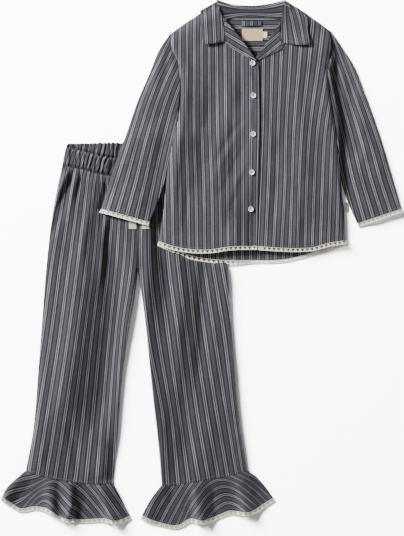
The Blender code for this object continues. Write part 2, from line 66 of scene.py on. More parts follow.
# The rings of its upper side, as shares of its radius and height
BUTTON_RINGS = ((1, 0.34), (1, 0.72), (0.94, 0.95), (0.86, 1), (0.75, 0.88), (0.66, 0.46))
BORE_RADIUS, BORE_OUT = 1.0, 1.45  # a button's holes, and how far they are from its centre
PLACKET_WIDTH = 16.0
LAP_START = 16.0  # how far from the placket the right front begins to rise
LOOP_RISE = 2.6
COLLAR_ROLL = 9.6
FALL_SHARE = 0.7  # of the collar's height, turned down behind it
SHIRT_MIDDLE = 110  # the x between the shirt's two sides
SHIRT_LOFT = 5.0
SHIRT_ROLL = 4.4  # how much higher the left front stands, beside its side seam
SLEEVE_LOFT = 5.2
TROUSER_LOFT = 5.2
FULL_EDGE, TIGHT_EDGE = 18, 2.4  # how far in a rolled and a pressed edge reach their full height
PRESSED = 0.8  # what is left of the trousers' relief below the shirt
COVER_OUT, COVER_RAMP = 14, 12  # how far round the shirt that begins, and over what length
BACK_WAVE_SHARE = 0.3  # the flounces' back halves, of the front halves' waves
LEG_CARRY = 56  # how far a leg's creases run on into its flounce
DEPTH = 1.45  # what the creases' heights are multiplied by
CELL = 3.4  # side of one face of the cloth's grid
FOLD_ARC = 8  # faces round a folded edge
SLEEVE_LAYER, COLLAR_LAYER = 30, 12  # faces across one layer of a folded piece
CUFF_CELLS = 10  # cells of lace across one layer of a cuff
REPEAT = 17.0  # one repeat of the stripes
STRAIGHT_REPEAT = 16.4  # the same on the shirt's back and the loop
ARMHOLE_SHARE = 0.4  # of a front's outer edge, from the shoulder to the underarm
YOKE_SHARE = 1 / 3  # of an armhole, from the shoulder to the yoke's seam
HEM_STITCH, SEAM_STITCH = 3.4, 2.6  # how far beside a hem and a seam their stitches run
# the least side that a sheet is declared with, in metres
LEAST_SIDE = 0.0101  # the least length that lace_band takes for a band, in metres

# Shirt edges, (x, y) from the top down or from left to right
SHOULDER_RIGHT = ((-62, 467), (-20, 496), (16, 514))
SHOULDER_LEFT = ((184, 516), (226, 494), (256, 472))
ARMHOLE_RIGHT = ((-62, 467), (-62, 444), (-56, 424), (-48, 408), (-44, 380), (-44, 344))
ARMHOLE_LEFT = ((256, 472), (258, 444), (254, 418), (250, 398), (252, 370), (256, 344))
SIDE_RIGHT = ((-44, 344), (-51, 280), (-62, 234), (-71, 178), (-76, 120), (-86, 52))
SIDE_LEFT = ((256, 344), (262, 304), (272, 224), (280, 144), (285, 104), (288, 54))
SLEEVE_OUT_RIGHT = ((-62, 467), (-84, 434), (-104, 386), (-130, 324), (-150, 264), (-174, 198), (-199, 116))
SLEEVE_OUT_LEFT = ((256, 472), (278, 440), (298, 408), (324, 344), (348, 278), (370, 208), (397, 116))
SLEEVE_IN_RIGHT = ((-45.5, 344), (-52.6, 280), (-64, 232), (-75, 172), (-91, 124), (-105, 90))
SLEEVE_IN_LEFT = ((257, 344), (264.4, 296), (273.4, 222), (281, 162), (297, 116), (310, 87))
NECK_BACK = ((16, 514), (44, 499), (100, 501), (156, 499), (184, 516))
ROLL_RIGHT = ((44, 496), (76, 458), (88, 443), (95.5, 430))
ROLL_LEFT = ((106, 416), (120, 434), (136, 458), (156, 490))
HEM_FRONT_RIGHT = ((-86, 52), (-64, 44), (-24, 36), (12, 35), (56, 41), (92.5, 43))
HEM_FRONT_LEFT = ((100, 42), (136, 40), (196, 38), (216, 39), (256, 49), (288, 54))
HEM_BACK = ((-86, 50), (-64, 40), (-24, 24), (22, 16), (96, 14), (166, 16), (236, 34), (288, 52))
PLACKET_EDGE = ((112, 405), (115, 304), (113, 204), (109, 44))
PLACKET_TOP = ((96.2, 417), (112, 405))
PLACKET_HEM = ((93, 43), (109, 43))
STAND_EDGE = ((101, 411), (103, 304), (101, 204), (100, 42))

# Collar and lapel edges
COLLAR_TOP = ((29, 532), (56, 523), (98, 519), (140, 524), (168, 531))
COLLAR_SEAM = ((38, 494), (66, 498), (100, 499), (132, 498), (160, 494))
Cut = namedtuple("Cut", "top bottom left right")
LEAF_RIGHT = Cut(
    top=((-4, 512), (32, 532)),
    bottom=((2, 444), (12, 444), (45, 450)),
    left=((-4, 512), (-2, 476), (2, 444)),
    right=((32, 532), (36, 514), (40.5, 494), (45, 450)),
)
LEAF_LEFT = Cut(
    top=((166, 532), (196, 515)),
    bottom=((159.5, 447), (196, 442), (214, 443)),
    left=((166, 532), (162, 514), (158, 494), (159.5, 447)),
    right=((196, 515), (208, 500), (211, 474), (214, 443)),
)
LAPEL_RIGHT = Cut(
    top=((44, 495), (76, 457), (90, 438), (105, 417)),
    bottom=((46, 447), (67, 431), (88, 420), (109, 409.5)),
    left=((44, 495), (46, 447)),
    right=((105, 417), (109, 409.5)),
)
LAPEL_LEFT = Cut(
    top=((107.5, 419), (120, 435), (136, 459), (155, 489)),
    bottom=((109.5, 411), (136, 423), (164, 435)),
    left=((107.5, 419), (109.5, 411)),
    right=((155, 489), (158.5, 446), (164, 435)),
)

# Small pieces of the shirt, (x0, y0, x1, y1)
HANGING_LOOP = (78, 482, 120, 491)
NECK_LABEL = (80, 452, 121, 476)
SIZE_TAB = (121.3, 458, 130, 470)
SIDE_LABEL = (284.8, 111, 291.8, 129)

# Trouser edges
WAIST_BACK = ((-271, 247), (-134, 248), (3, 247))
WAIST_FRONT = ((-273, 241), (-234, 230), (-204, 222), (-134, 216), (-64, 222), (-34, 230), (5, 241))
WAIST_SEAM_FRONT = ((-279, 204), (-234, 194), (-204, 186), (-134, 182), (-64, 186), (-34, 194), (7, 204))
WAIST_SEAM_BACK = ((-279, 206), (-134, 208), (7, 206))
CENTRE_SEAM = ((-130, 76), (-128, -6))
OUTSIDE_RIGHT = (
    (-279, 204), (-290, 154), (-301, 90), (-309, 22), (-319, -98), (-328, -216), (-338, -330), (-352, -406),
)  # fmt: skip
OUTSIDE_LEFT = ((7, 204), (24, 134), (38, 70), (50, 6), (56, -90), (64, -186), (74, -298), (90, -406))
INSEAM_RIGHT = ((-128.2, -6), (-134, -56), (-146, -126), (-158, -206), (-165, -286), (-171, -366), (-178, -431))
INSEAM_LEFT = ((-127.6, -6), (-122, -46), (-116, -90), (-106, -186), (-96, -282), (-86, -370), (-81, -435))
CENTRE_SHARE = 1 / 3  # of a leg's inner edge, from the waist to the crotch
TIES = {"right": (-146, 76, -131, 180), "left": (-120, 76, -105, 180)}
ANKLE_RIGHT = ((-352, -406), (-300, -422), (-264, -428), (-204, -433), (-178, -431))
ANKLE_LEFT = ((-81, -435), (-64, -436), (-24, -430), (16, -423), (56, -416), (90, -406))
FLOUNCE_HEM_RIGHT = (
    (-399, -458), (-382, -470), (-364, -482), (-334, -478), (-304, -484), (-280, -499),
    (-244, -504), (-194, -502), (-168, -504), (-144, -497),
)  # fmt: skip
FLOUNCE_HEM_LEFT = (
    (-120, -496), (-84, -510), (-46, -515), (-26, -503), (2, -504), (28, -497),
    (52, -488), (96, -487), (126, -471), (142, -461),
)  # fmt: skip
FLOUNCE_SIDES_RIGHT = (
    ((-352, -406), (-364, -416), (-392, -444), (-399, -458)),
    ((-178, -431), (-162, -462), (-144, -497)),
)
FLOUNCE_SIDES_LEFT = (
    ((-81, -435), (-104, -466), (-120, -496)),
    ((90, -406), (106, -416), (126, -438), (142, -461)),
)
GATHERS = 30
GATHER_SLANT = 0.22  # how far they lean for each step down
WAIST_FULLNESS, FLOUNCE_FULLNESS = 1.35, 1.2
FLOUNCE_INNER = 80.0  # the flounce is cut as part of a ring, with this inner and outer radius
FLOUNCE_OUTER = 152.0
# Shares of the flounce's width, and the ring's angles there
RING_RIGHT = ((0, 0.24, 0.36, 0.7, 1), (-64, -36, 2, 50, 84))
RING_LEFT = ((0, 0.22, 0.36, 0.52, 0.64, 0.76, 0.88, 1), (-93, -68, -50, -22, -2, 22, 50, 74))

# What the shirt covers of the trousers
BESIDE_BODY = ((-105, 90), (-93, 124), (-78, 172), (-76, 120), (-86, 52))
SHIRT_OUTLINE = SLEEVE_OUT_RIGHT + BESIDE_BODY + HEM_BACK[1:] + ((288, 467),)

# A crease follows a line of (x, y) points. It rises by the height given for each point, or is a trough where that is
# below 0. lean makes its left side narrower and its right side wider.
Crease = namedtuple("Crease", "line width rises lean", defaults=(0.0,))
TROUSER_CREASES = (
    # from the waist of the right leg
    Crease(((-268, 198), (-274, 178), (-286, 150), (-294, 118)), 6, (1.6, 2.6, 2.2, 0.2)),
    Crease(((-256, 196), (-262, 172), (-276, 140), (-289, 104), (-295, 70)), 6.5, (-2.0, -3.0, -4.0, -4.2, -1.2)),
    Crease(((-266, 156), (-272, 126), (-282, 84)), 9, (-0.4, -2.6, -0.4)),
    Crease(((-248, 194), (-254, 166), (-262, 132), (-270, 90)), 6, (2.2, 2.4, 1.8, 0.2)),
    Crease(((-240, 190), (-245, 160), (-252, 120)), 4.5, (-1.6, -1.6, -0.2)),
    Crease(((-216, 188), (-218, 156), (-226, 110), (-237, 44), (-242, -10)), 8, (1.2, 1.6, 2.4, 2.4, 0.4)),
    Crease(((-199, 80), (-198, 20), (-201, -60)), 8, (0.3, 2.0, 0.3)),
    Crease(((-183, 84), (-184, 30), (-193, -20), (-198, -66)), 9, (-0.8, -2.6, -2.4, -0.4)),
    Crease(((-194, 186), (-195, 146), (-199, 100), (-205, 60)), 7, (-1.6, -1.8, -2.0, -0.6)),
    Crease(((-207, 184), (-206, 140), (-208, 110)), 3, (0.8, 0.7, 0.1)),
    Crease(((-198, 184), (-198, 130), (-200, 96)), 2.4, (2.0, 1.6, 0.2)),
    Crease(((-182, 178), (-184, 130), (-191, 84), (-196, 30)), 7, (1.4, 1.6, 1.4, 0.2)),
    Crease(((-180, 168), (-183, 120), (-186, 60), (-185, 0)), 11, (-1.6, -3.0, -3.4, -2.2)),
    # the broad fall down the right leg, and the trough at its foot
    Crease(((-237, 70), (-246, -46), (-258, -166), (-273, -266), (-287, -340)), 30, (1.4, 5.6, 7.4, 6.4, 0.8)),
    Crease(((-174, 60), (-177, -46), (-186, -166), (-198, -266), (-212, -340)), 20, (-2.0, -4.6, -5.0, -4.4, -0.4)),
    Crease(
        ((-142, 76), (-138, -6), (-148, -116), (-162, -226), (-172, -326), (-178, -380)),
        18, (0.6, 2.8, 3.2, 2.8, 1.0, 0.0),
    ),
    Crease(((-222, -300), (-216, -340), (-214, -400)), 10, (0.2, 1.2, 0.3)),
    Crease(((-200, -300), (-198, -350), (-200, -410)), 10, (0.2, 1.8, 2.4)),
    Crease(((-172, -330), (-176, -380), (-180, -420)), 12, (-0.2, -2.6, -3.0)),
    Crease(((-264, -306), (-254, -362), (-246, -418)), 10, (0, -2.2, -0.8)),
    Crease(((-306, -320), (-318, -372), (-322, -412)), 8, (0, 1.4, 0.4)),
    # the left leg: its inner fold falls into a trough
    Crease(
        ((-113, 100), (-109, 20), (-108, -36), (-109, -96), (-105, -186), (-96, -282), (-84, -400)),
        11, (1.2, 4.2, 4.6, 3.6, 2.4, 2.2, 1.4), 0.25,
    ),
    Crease(
        ((-88, 132), (-80, 70), (-73, 10), (-70, -40), (-69, -90), (-72, -150)),
        15, (-6.0, -6.4, -5.4, -4.6, -2.6, -0.3),
    ),
    Crease(((-46, 60), (-42, -40), (-46, -130), (-44, -190), (-46, -240)), 13, (0.4, 1.6, 2.6, 2.4, 0.3), 0.15),
    Crease(((4, 26), (0, -50), (-2, -120), (-4, -190), (-8, -240)), 13, (-0.6, -2.6, -2.9, -2.6, -0.2), 0.2),
    Crease(((50, 0), (56, -110), (66, -210), (78, -310), (84, -390)), 15, (1.6, 2.0, 1.8, 1.4, 0.4)),
    Crease(((-84, -230), (-79, -300), (-74, -360), (-68, -410)), 11, (0.2, 1.8, 2.2, 1.0)),
    Crease(((-40, -240), (-35, -300), (-30, -360), (-26, -410)), 14, (-0.2, -2.6, -2.6, -0.8)),
    Crease(((6, -250), (12, -320), (18, -390)), 12, (0.1, 1.2, 0.3)),
    Crease(((20, -330), (28, -370), (30, -412)), 7, (0, -1.2, -0.6)),
)
SHIRT_CREASES = (
    # across the right front
    Crease(((92, 254), (68, 214), (46, 164), (22, 132)), 6, (-0.3, -0.7, -0.5, -0.1), 0.25),
    Crease(((80, 278), (50, 226), (24, 176), (4, 136)), 8, (0.2, 0.7, 0.5, 0.1)),
    Crease(((88, 300), (60, 268), (36, 226), (14, 180)), 6, (-0.2, -0.9, -0.8, -0.1)),
    Crease(((92, 214), (72, 178), (54, 132), (40, 104)), 6, (0.3, 0.8, 0.6, 0.1)),
    Crease(((92, 184), (66, 136), (52, 92), (38, 56)), 7, (-0.1, -0.3, -0.2, -0.1), 0.2),
    Crease(((-42, 150), (-44, 100), (-48, 60)), 13, (0.4, 1.8, 1.4)),
    Crease(((68, 190), (68, 120), (66, 50)), 12, (0.2, 1.4, 1.8)),
    Crease(((108, 210), (106, 140), (104, 90), (102, 44)), 13, (-0.2, -2.0, -3.0, -3.2)),
    Crease(((-39, 420), (-43, 340), (-49, 250), (-55, 170)), 17, (0.6, 4.2, 4.2, 0.8)),
    Crease(((22, 400), (20, 320), (10, 240), (-4, 140)), 19, (-0.3, -4.0, -4.0, -1.0)),
    Crease(((58, 400), (56, 330), (46, 250)), 10, (0.2, 1.2, 0.2)),
    Crease(((-24, 190), (-30, 130), (-38, 70)), 8, (0.2, -1.8, -0.6)),
    Crease(((-46, 250), (-52, 170), (-60, 70)), 7, (0.2, 1.8, 0.8)),
    Crease(((80, 400), (78, 340), (82, 290)), 8, (0.2, -0.8, -0.2)),
    Crease(((-30, 440), (-22, 410), (-18, 380)), 8, (0.4, -1.6, -0.2)),
    # across the left front
    Crease(((128, 300), (136, 240), (146, 170)), 10, (0, 1.5, 0.2)),
    Crease(((150, 250), (150, 160), (140, 80)), 9, (-0.2, -1.8, -0.9)),
    Crease(((190, 400), (196, 300), (200, 200), (200, 100)), 12, (0.2, 1.3, 1.6, 0.6)),
    Crease(((214, 430), (206, 350), (200, 280)), 9, (0.2, -0.6, -0.1)),
    Crease(((228, 300), (234, 200), (232, 70)), 12, (-0.1, -1.2, -0.6)),
    Crease(((250, 400), (249, 340), (262, 220), (272, 120)), 12, (0.6, 1.4, 1.2, 0.2)),
    Crease(((250, 200), (260, 120), (264, 64)), 8, (0, -0.9, -0.4)),
    Crease(((186, 140), (190, 90), (188, 50)), 8, (0, 1.6, 0.9)),
    Crease(((228, 482), (222, 452), (212, 430)), 8, (-0.4, -1.6, -0.2)),
)
SLEEVE_CREASES = (
    Crease(((-66, 440), (-70, 400), (-84, 352)), 9, (-0.6, -3.2, -0.4)),
    Crease(((-64, 330), (-84, 300), (-112, 286)), 8, (0.1, -0.6, -0.1)),
    Crease(((-66, 300), (-78, 240), (-92, 180), (-108, 130)), 9, (-0.6, -1.2, -0.9, -0.2), -0.2),
    Crease(((-96, 310), (-108, 250), (-124, 190), (-140, 130)), 11, (0.2, 0.8, 0.6, 0.2), 0.2),
    Crease(((-128, 290), (-140, 240), (-156, 180)), 10, (0, 1.0, 0.2)),
    Crease(((-88, 200), (-104, 160), (-122, 130)), 8, (0.1, 0.6, 0.1)),
    Crease(((-160, 200), (-168, 160), (-176, 120)), 7, (0, -1.4, -0.2)),
    Crease(((272, 430), (280, 380), (290, 330)), 8, (-0.2, 2.0, 0.2)),
    Crease(((300, 380), (300, 320), (306, 260), (312, 200)), 10, (-0.4, -1.2, -1.2, -0.2)),
    Crease(((300, 340), (316, 280), (334, 220)), 10, (0.2, 1.8, 0.2)),
    Crease(((310, 230), (326, 180), (344, 130)), 8, (0, -1.6, -0.2)),
    Crease(((340, 250), (356, 190), (368, 140)), 8, (0, 1.4, 0.2)),
)
FLOUNCE_WAVES = (
    Crease(((-356, -412), (-394, -463)), 12, (0.6, 6.0)),
    Crease(((-340, -416), (-362, -478)), 8, (-0.2, -1.6)),
    Crease(((-308, -423), (-299, -488)), 14, (0.8, 9.2), 0.15),
    Crease(((-286, -427), (-288, -484)), 7, (-0.6, -1.4)),
    Crease(((-263, -429), (-261, -478), (-268, -504)), 11, (4.0, 8.4, 9.6), -0.1),
    Crease(((-236, -431), (-230, -504)), 9, (-1.0, -1.4)),
    Crease(((-205, -433), (-178, -503)), 15, (5.6, 12.2), 0.24),
    Crease(((-82, -437), (-108, -502)), 14, (0.6, 4.0)),
    Crease(((-60, -436), (-70, -512)), 8, (-0.8, -1.2)),
    Crease(((-14, -432), (-4, -506)), 15, (1.2, 12.4), 0.38),
    Crease(((16, -426), (34, -497)), 9, (-0.5, -1.6)),
    Crease(((72, -416), (88, -489)), 17, (1.4, 10.4), 0.3),
)

# Uneven lumps of the cloth between its creases. stretch below 1 makes them longer that way.
Lumps = namedtuple("Lumps", "height size seed stretch", defaults=((1.0, 1.0),))
GATHER_DRIFT = (Lumps(1.5, 24, 5, (1, 0.6)), Lumps(0.7, 10, 6))
GATHER_HEIGHTS = (Lumps(0.38, 15, 7, (1, 0.5)),)
TROUSER_LUMPS = (Lumps(1.5, 56, 13, (1, 0.35)), Lumps(0.9, 27, 11, (1, 0.35)), Lumps(0.35, 12, 12, (1, 0.5)))
FLOUNCE_LUMPS = (Lumps(0.4, 14, 21),)
SHIRT_LUMPS = (Lumps(1.0, 62, 33, (1, 0.45)), Lumps(0.65, 30, 31, (1, 0.5)), Lumps(0.35, 13, 32, (1, 0.6)))
SLEEVE_LUMPS = (Lumps(1.1, 44, 43, (1, 0.6)), Lumps(0.7, 24, 41, (1, 0.7)), Lumps(0.32, 12, 42))

# Lines of (x, y) points that each follow the stripe of that number
Guide = namedtuple("Guide", "number line")


def guides(heights, lines):
    """The guide of each number in lines, from its x at each of the heights."""
    return tuple(Guide(number, tuple(zip(line, heights, strict=True))) for number, line in lines.items())


GRAIN_FRONT_RIGHT = guides((410, 274, 154, 50), {
    0: (-45, -47, -44, -42),
    5: (29, 31, 35.5, 37),
    9: (97, 97, 96, 96),
})  # fmt: skip
GRAIN_FRONT_LEFT = guides((414, 274, 154, 74), {
    0: (122.4, 120.2, 115.2, 111.8),
    3: (175.2, 167.4, 165, 160.6),
    5: (213.2, 198.8, 193, 191.5),
    7: (253, 230.8, 223.2, 220.8),
    9: (287, 261.4, 255.4, 253),
})  # fmt: skip
GRAIN_SLEEVE_RIGHT = guides((414, 374, 334, 254, 174, 124), {
    1: (-84.2, -103.8, -119.6, -144.6, -169.4, -184.6),
    3: (-53.8, -72.2, -87.8, -111.6, -130.8, -144.2),
    5: (-22, -40, -55, -77.2, -95, -105.4),
})  # fmt: skip
GRAIN_SLEEVE_LEFT = guides((414, 374, 334, 254, 174, 124), {
    1: (243.2, 255, 264.4, 284, 301, 315),
    4: (278.8, 293.2, 307, 333.4, 355.4, 371.6),
})  # fmt: skip
GRAIN_LEG_RIGHT = guides((134, 14, -126, -326, -400), {
    1: (-263, -281.2, -300, -332, -344),
    4: (-218, -229.4, -247.2, -277.6, -290),
    6: (-192.6, -201.8, -218.8, -240.6, -250),
    8: (-162.2, -170.8, -184, -201.6, -208),
    10: (-135.2, -140.4, -159.4, -172.6, -176),
})  # fmt: skip
GRAIN_LEG_LEFT = guides((114, -6, -126, -326, -386), {
    1: (-106, -103, -89.2, -57.8, -52),
    3: (-76, -65.8, -48.8, -24, -13.4),
    5: (-42, -27, -14.6, 15.6, 26.4),
    7: (-12, 5.4, 23, 55, 64.8),
    9: (20, 41, 62.4, 81, 89.4),
})  # fmt: skip
GRAIN_LEAF_RIGHT = (Guide(0, ((6, 506), (9, 446))), Guide(2, ((40, 506), (42, 446))))
GRAIN_LEAF_LEFT = (
    Guide(0, ((166, 526), (165, 506), (166.6, 446))),
    Guide(1, ((171.6, 526), (181, 486), (189.4, 446))),
    Guide(2, ((184.4, 526), (196, 486), (203, 446))),
    Guide(3, ((206, 506), (214, 446))),
)
GRAIN_COLLAR = (
    Guide(0, ((34, 496), (66, 503), (100, 505), (136, 503), (164, 504))),
    Guide(1, ((34, 528), (66, 519), (100, 516), (136, 520), (164, 527))),
)
GRAIN_YOKE = (Guide(-1, ((0, 502), (200, 502))), Guide(0, ((0, 480), (200, 480))), Guide(3, ((0, 428), (200, 428))))

Button = namedtuple("Button", "x y turn")
BUTTONS = (
    Button(101, 406.5, 8), Button(102.6, 341.5, -5), Button(102, 265, 4), Button(99.4, 188.5, -9), Button(97.6, 115, 2),
)  # fmt: skip

# Lace, as shares of one cell and of the band's width
LACE_CELL = 9.6
LACE_ROWS = (0, 0.13, 0.42, 0.47, 0.80, 0.9, 1)
LACE_HOLES = (1, 3)  # the rows that are open
LACE_HALF_TOP, LACE_HALF_FOOT = 0.41, 0.04  # half of a triangle's width, at its top and its point
LACE_SOLID = 0.84  # share of the band that the holes leave
LEAST_AREA = 0.31  # the least share of its flat size that a band's area is declared as

# Colours, linear
INK = (0.0185, 0.0183, 0.0225)
GROUND = (0.0355, 0.0352, 0.0425)
BAND = (0.056, 0.0555, 0.068)
LINE = (0.32, 0.315, 0.34)
LACE = (0.96, 0.92, 0.76)
# painted shade round the lace's holes and eyelets, for the shadow seen through them
LACE_PAINTED_SHADE = (0.20, 0.175, 0.12)
TAPE = (0.56, 0.52, 0.42)
LABEL = (0.60, 0.42, 0.255)
TAB = (0.93, 0.75, 0.52)
SHELL = (0.92, 0.92, 0.91)
SHELL_DEPTH = (0.93, 0.93, 0.95)
THREAD = (0.12, 0.122, 0.142)
BUTTON_THREAD = (0.035, 0.035, 0.042)
FLOOR_WHITE = (0.95, 0.95, 0.95)
YARN_PITCH = 0.00075  # metres

# Lamps for the cloth alone and for the floor alone, and the camera, in metres and watts
Lamp = namedtuple("Lamp", "name place size power")
CLOTH_LAMPS = (Lamp("key_light", (-4.9, 3.0, 2.7), 1.5, 1500), Lamp("fill_light", (1.6, -1.4, 5.0), 2.4, 25))
FLOOR_LAMPS = (Lamp("floor_light", (-4.15, 4.15, 2.9), 2.8, 10500), Lamp("floor_fill", (0.3, -0.3, 5.5), 4.0, 36))
ROOM_LIGHT = 0.24
FLOOR_SIDE, FLOOR_DROP = 30, 0.0002
CAMERA_PLACE, CAMERA_LENS = (0.001, -0.0068, 3.2), 107.5


# ---------------------------------------------------------------- lines and places


def unit(way):
    return way / np.linalg.norm(way, axis=-1, keepdims=True)


def to_right(way):
    return np.stack([way[..., 1], -way[..., 0]], axis=-1)


def lengths_along(points):
    """How long the line is up to each of its points."""
    return np.concatenate([[0], np.cumsum(np.linalg.norm(np.diff(points, axis=0), axis=1))])


def path(points):
    """A function of u, from 0 to 1, that follows one smooth curve through the points."""
    points = np.array(points, float)
    along = lengths_along(points)
    along /= along[-1]
    return lambda u: eased(u, along, points)


def eased(at, knots, values):
    """values at the knots, joined by one smooth curve."""
    at, knots, values = np.asarray(at, float), np.array(knots, float), np.array(values, float)
    slopes = np.gradient(values, knots, axis=0)
    i = np.clip(np.searchsorted(knots, at, side="right") - 1, 0, len(knots) - 2)
    span = knots[i + 1] - knots[i]
    f = (at - knots[i]) / span
    if values.ndim > 1:
        span, f = span[..., None], f[..., None]
    g = np.clip(f, 0, 1)
    inside = (
        (2 * g**3 - 3 * g**2 + 1) * values[i]
        + (g**3 - 2 * g**2 + g) * slopes[i] * span
        + (3 * g**2 - 2 * g**3) * values[i + 1]
        + (g**3 - g**2) * slopes[i + 1] * span
    )
    return inside + (f - g) * span * np.where(f < 0, slopes[i], slopes[i + 1])


def joined(first, second, share):
    """One edge made of two: first up to that share of it, then second."""

    def at(u):
        u = np.asarray(u, float)
        start, end = first(np.clip(u / share, 0, 1)), second(np.clip((u - share) / (1 - share), 0, 1))
        return np.where((u <= share)[..., None], start, end)

    return at


def part_of(whole, low, high):
    """The edge between two shares of it."""
    return lambda u: whole(low + np.asarray(u, float) * (high - low))


def moved(edge, x, y):
    return lambda u: edge(u) + np.array((x, y))


def beside(edge, distance):
    """The edge moved sideways, to the right of its own direction."""

    def at(u):
        step = edge(np.clip(u + 0.01, 0, 1)) - edge(np.clip(u - 0.01, 0, 1))
        return edge(u) + to_right(unit(step)) * distance

    return at


def fitted(edge, start, end):
    """The edge, eased so that it runs from start to end."""
    off0, off1 = start - edge(0.0), end - edge(1.0)
    return lambda u: edge(u) + (1 - np.asarray(u)[..., None]) * off0 + np.asarray(u)[..., None] * off1


def patch(top, bottom, left, right):
    """A function of (s, t) that fills the space between four edges."""
    left, right = fitted(left, top(0.0), bottom(0.0)), fitted(right, top(1.0), bottom(1.0))

    def at(s, t):
        f, g = s[..., None], t[..., None]
        between = (1 - f) * left(t) + f * right(t) + (1 - g) * top(s) + g * bottom(s)
        ends = [edge(np.array([0.0, 1.0])) for edge in (top, bottom)]
        corners = [(1 - f) * e[0] + f * e[1] for e in ends]
        return between - (1 - g) * corners[0] - g * corners[1]

    return at


def cut(edges):
    return patch(*(path(edge) for edge in edges))


def strip(edge, start, end):
    """A function of (s, t) for a strip along an edge, on the right of its direction."""
    near_side, far_side = beside(edge, start), beside(edge, end)
    return lambda s, t: near_side(s) + (far_side(s) - near_side(s)) * t[..., None]


def rectangle(x0, y0, x1, y1):
    return lambda s, t: np.stack([x0 + (x1 - x0) * s, y1 + (y0 - y1) * t], axis=-1)


def smooth(u):
    """0 up to 0, 1 from 1 on, and a soft slope between them."""
    u = np.clip(u, 0, 1)
    return u * u * (3 - 2 * u)


def between(value, low, rise, high, fall):
    """0 up to low, then 1 past its rise, and 0 again at high, after its fall."""
    return smooth((value - low) / rise) * smooth((high - value) / fall)


def to_line(at, line):
    """For each point, its distance to a line, where along the line it is nearest, and on which side it lies."""
    line = np.array(line, float)
    best, where, side = np.full(at.shape[:-1], np.inf), np.zeros(at.shape[:-1]), np.ones(at.shape[:-1])
    for i, (start, end) in enumerate(zip(line[:-1], line[1:], strict=True)):
        run = end - start
        f = np.clip(((at - start) @ run) / (run @ run), 0, 1)
        off = at - start - f[..., None] * run
        far = np.linalg.norm(off, axis=-1)
        closer = far < best
        best, where = np.where(closer, far, best), np.where(closer, i + f, where)
        side = np.where(closer, np.sign(off[..., 0]), side)
    return best, where, side


def far_from(at, edges):
    """The distance of each point to the nearest of the edges."""
    return np.min([to_line(at, path(edge)(np.linspace(0, 1, 25)))[0] for edge in edges], axis=0)


def inside(at, outline):
    """Whether each point lies inside the outline: a line from it crosses an odd number of sides."""
    x, y = at[..., 0], at[..., 1]
    within = np.zeros(x.shape, bool)
    for (x0, y0), (x1, y1) in zip(outline, outline[1:] + outline[:1], strict=True):
        crosses = (y0 > y) != (y1 > y)
        within ^= crosses & (x < x0 + (x1 - x0) * (y - y0) / (y1 - y0 + 1e-9))
    return within


# ---------------------------------------------------------------- relief of the cloth


def creased(at, creases):
    total = np.zeros(at.shape[:-1])
    for crease in creases:
        far, where, side = to_line(at, crease.line)
        width = crease.width * (1 + crease.lean * side)
        total += np.interp(where, range(len(crease.rises)), crease.rises) * np.exp(-((far / width) ** 2))
    return total * DEPTH


def crumple(at, size, seed, stretch):
    """Smooth uneven relief between -1 and 1, with lumps of that size."""
    lattice = np.random.default_rng(seed).uniform(-1, 1, (64, 64))
    place = at * np.array(stretch) / size + 1000
    cell = np.floor(place).astype(int)
    f = smooth(place - cell)
    i, j = cell[..., 0] % 64, cell[..., 1] % 64
    low = lattice[i, j] * (1 - f[..., 0]) + lattice[(i + 1) % 64, j] * f[..., 0]
    high = lattice[i, (j + 1) % 64] * (1 - f[..., 0]) + lattice[(i + 1) % 64, (j + 1) % 64] * f[..., 0]
    return low * (1 - f[..., 1]) + high * f[..., 1]


def crumpled(at, lumps):
    return sum(lump.height * crumple(at, lump.size, lump.seed, lump.stretch) for lump in lumps)


def waves(at):
    """The waist's gathers, from 0 to 1: rounded puffs between sharp valleys, uneven in place and height."""
    start, end = WAIST_BACK[0][0], WAIST_BACK[-1][0]
    slant = at[..., 0] - GATHER_SLANT * (at[..., 1] - WAIST_BACK[0][1])
    turn = (slant - start) / (end - start) * math.pi * GATHERS + crumpled(at, GATHER_DRIFT)
    full = np.abs(np.sin(turn)) ** 0.8 * (0.62 + crumpled(at, GATHER_HEIGHTS))
    from_end = smooth(np.minimum(at[..., 0] - start, end - at[..., 0]) / 14 + 0.4)
    return 0.5 + (full - 0.5) * from_end


def covered(at):
    """1 where the shirt lies on the trousers, and 0 outside it."""
    edge = to_line(at, SHIRT_OUTLINE + SHIRT_OUTLINE[:1])[0]
    return smooth((np.where(inside(at, SHIRT_OUTLINE), edge, -edge) + COVER_OUT) / COVER_RAMP)


def rounded(far, width):
    """A full edge: 0 on it, rising to 1 at that distance inside."""
    return 1 - (1 - np.clip(far / width, 0, 1)) ** 2


def trouser_back(at):
    """The back lies on the floor."""
    return np.zeros(at.shape[:-1])


def at_waist_seam(at):
    """How high the front stands along the waist seam, where the gathers are pinched."""
    return 0.4 + 1.9 * waves(at)


def trouser_relief(at):
    full_edge = far_from(at, (OUTSIDE_RIGHT,))
    tight_edge = far_from(at, (OUTSIDE_LEFT, INSEAM_RIGHT, INSEAM_LEFT))
    seam = eased(at[..., 0], *np.transpose(WAIST_SEAM_FRONT))
    below = np.clip(seam - at[..., 1], 0, None)
    free = smooth(below / 20)
    tail = 2.6 * (waves(at) - 0.4) * np.exp(-below / 26)
    loft = TROUSER_LOFT * rounded(full_edge, FULL_EDGE) * rounded(tight_edge, TIGHT_EDGE)
    off_edge = smooth(np.minimum(full_edge / 7, tight_edge / 2.6))
    loose = loft + off_edge * (creased(at, TROUSER_CREASES) + crumpled(at, TROUSER_LUMPS) + tail)
    return free * loose + (1 - free) * at_waist_seam(at)


def trouser_front(at):
    relief = np.maximum(trouser_relief(at), 0)
    hidden = covered(at)
    return WALL + SEAM + relief * (1 - hidden) + np.minimum(relief, PRESSED) * hidden


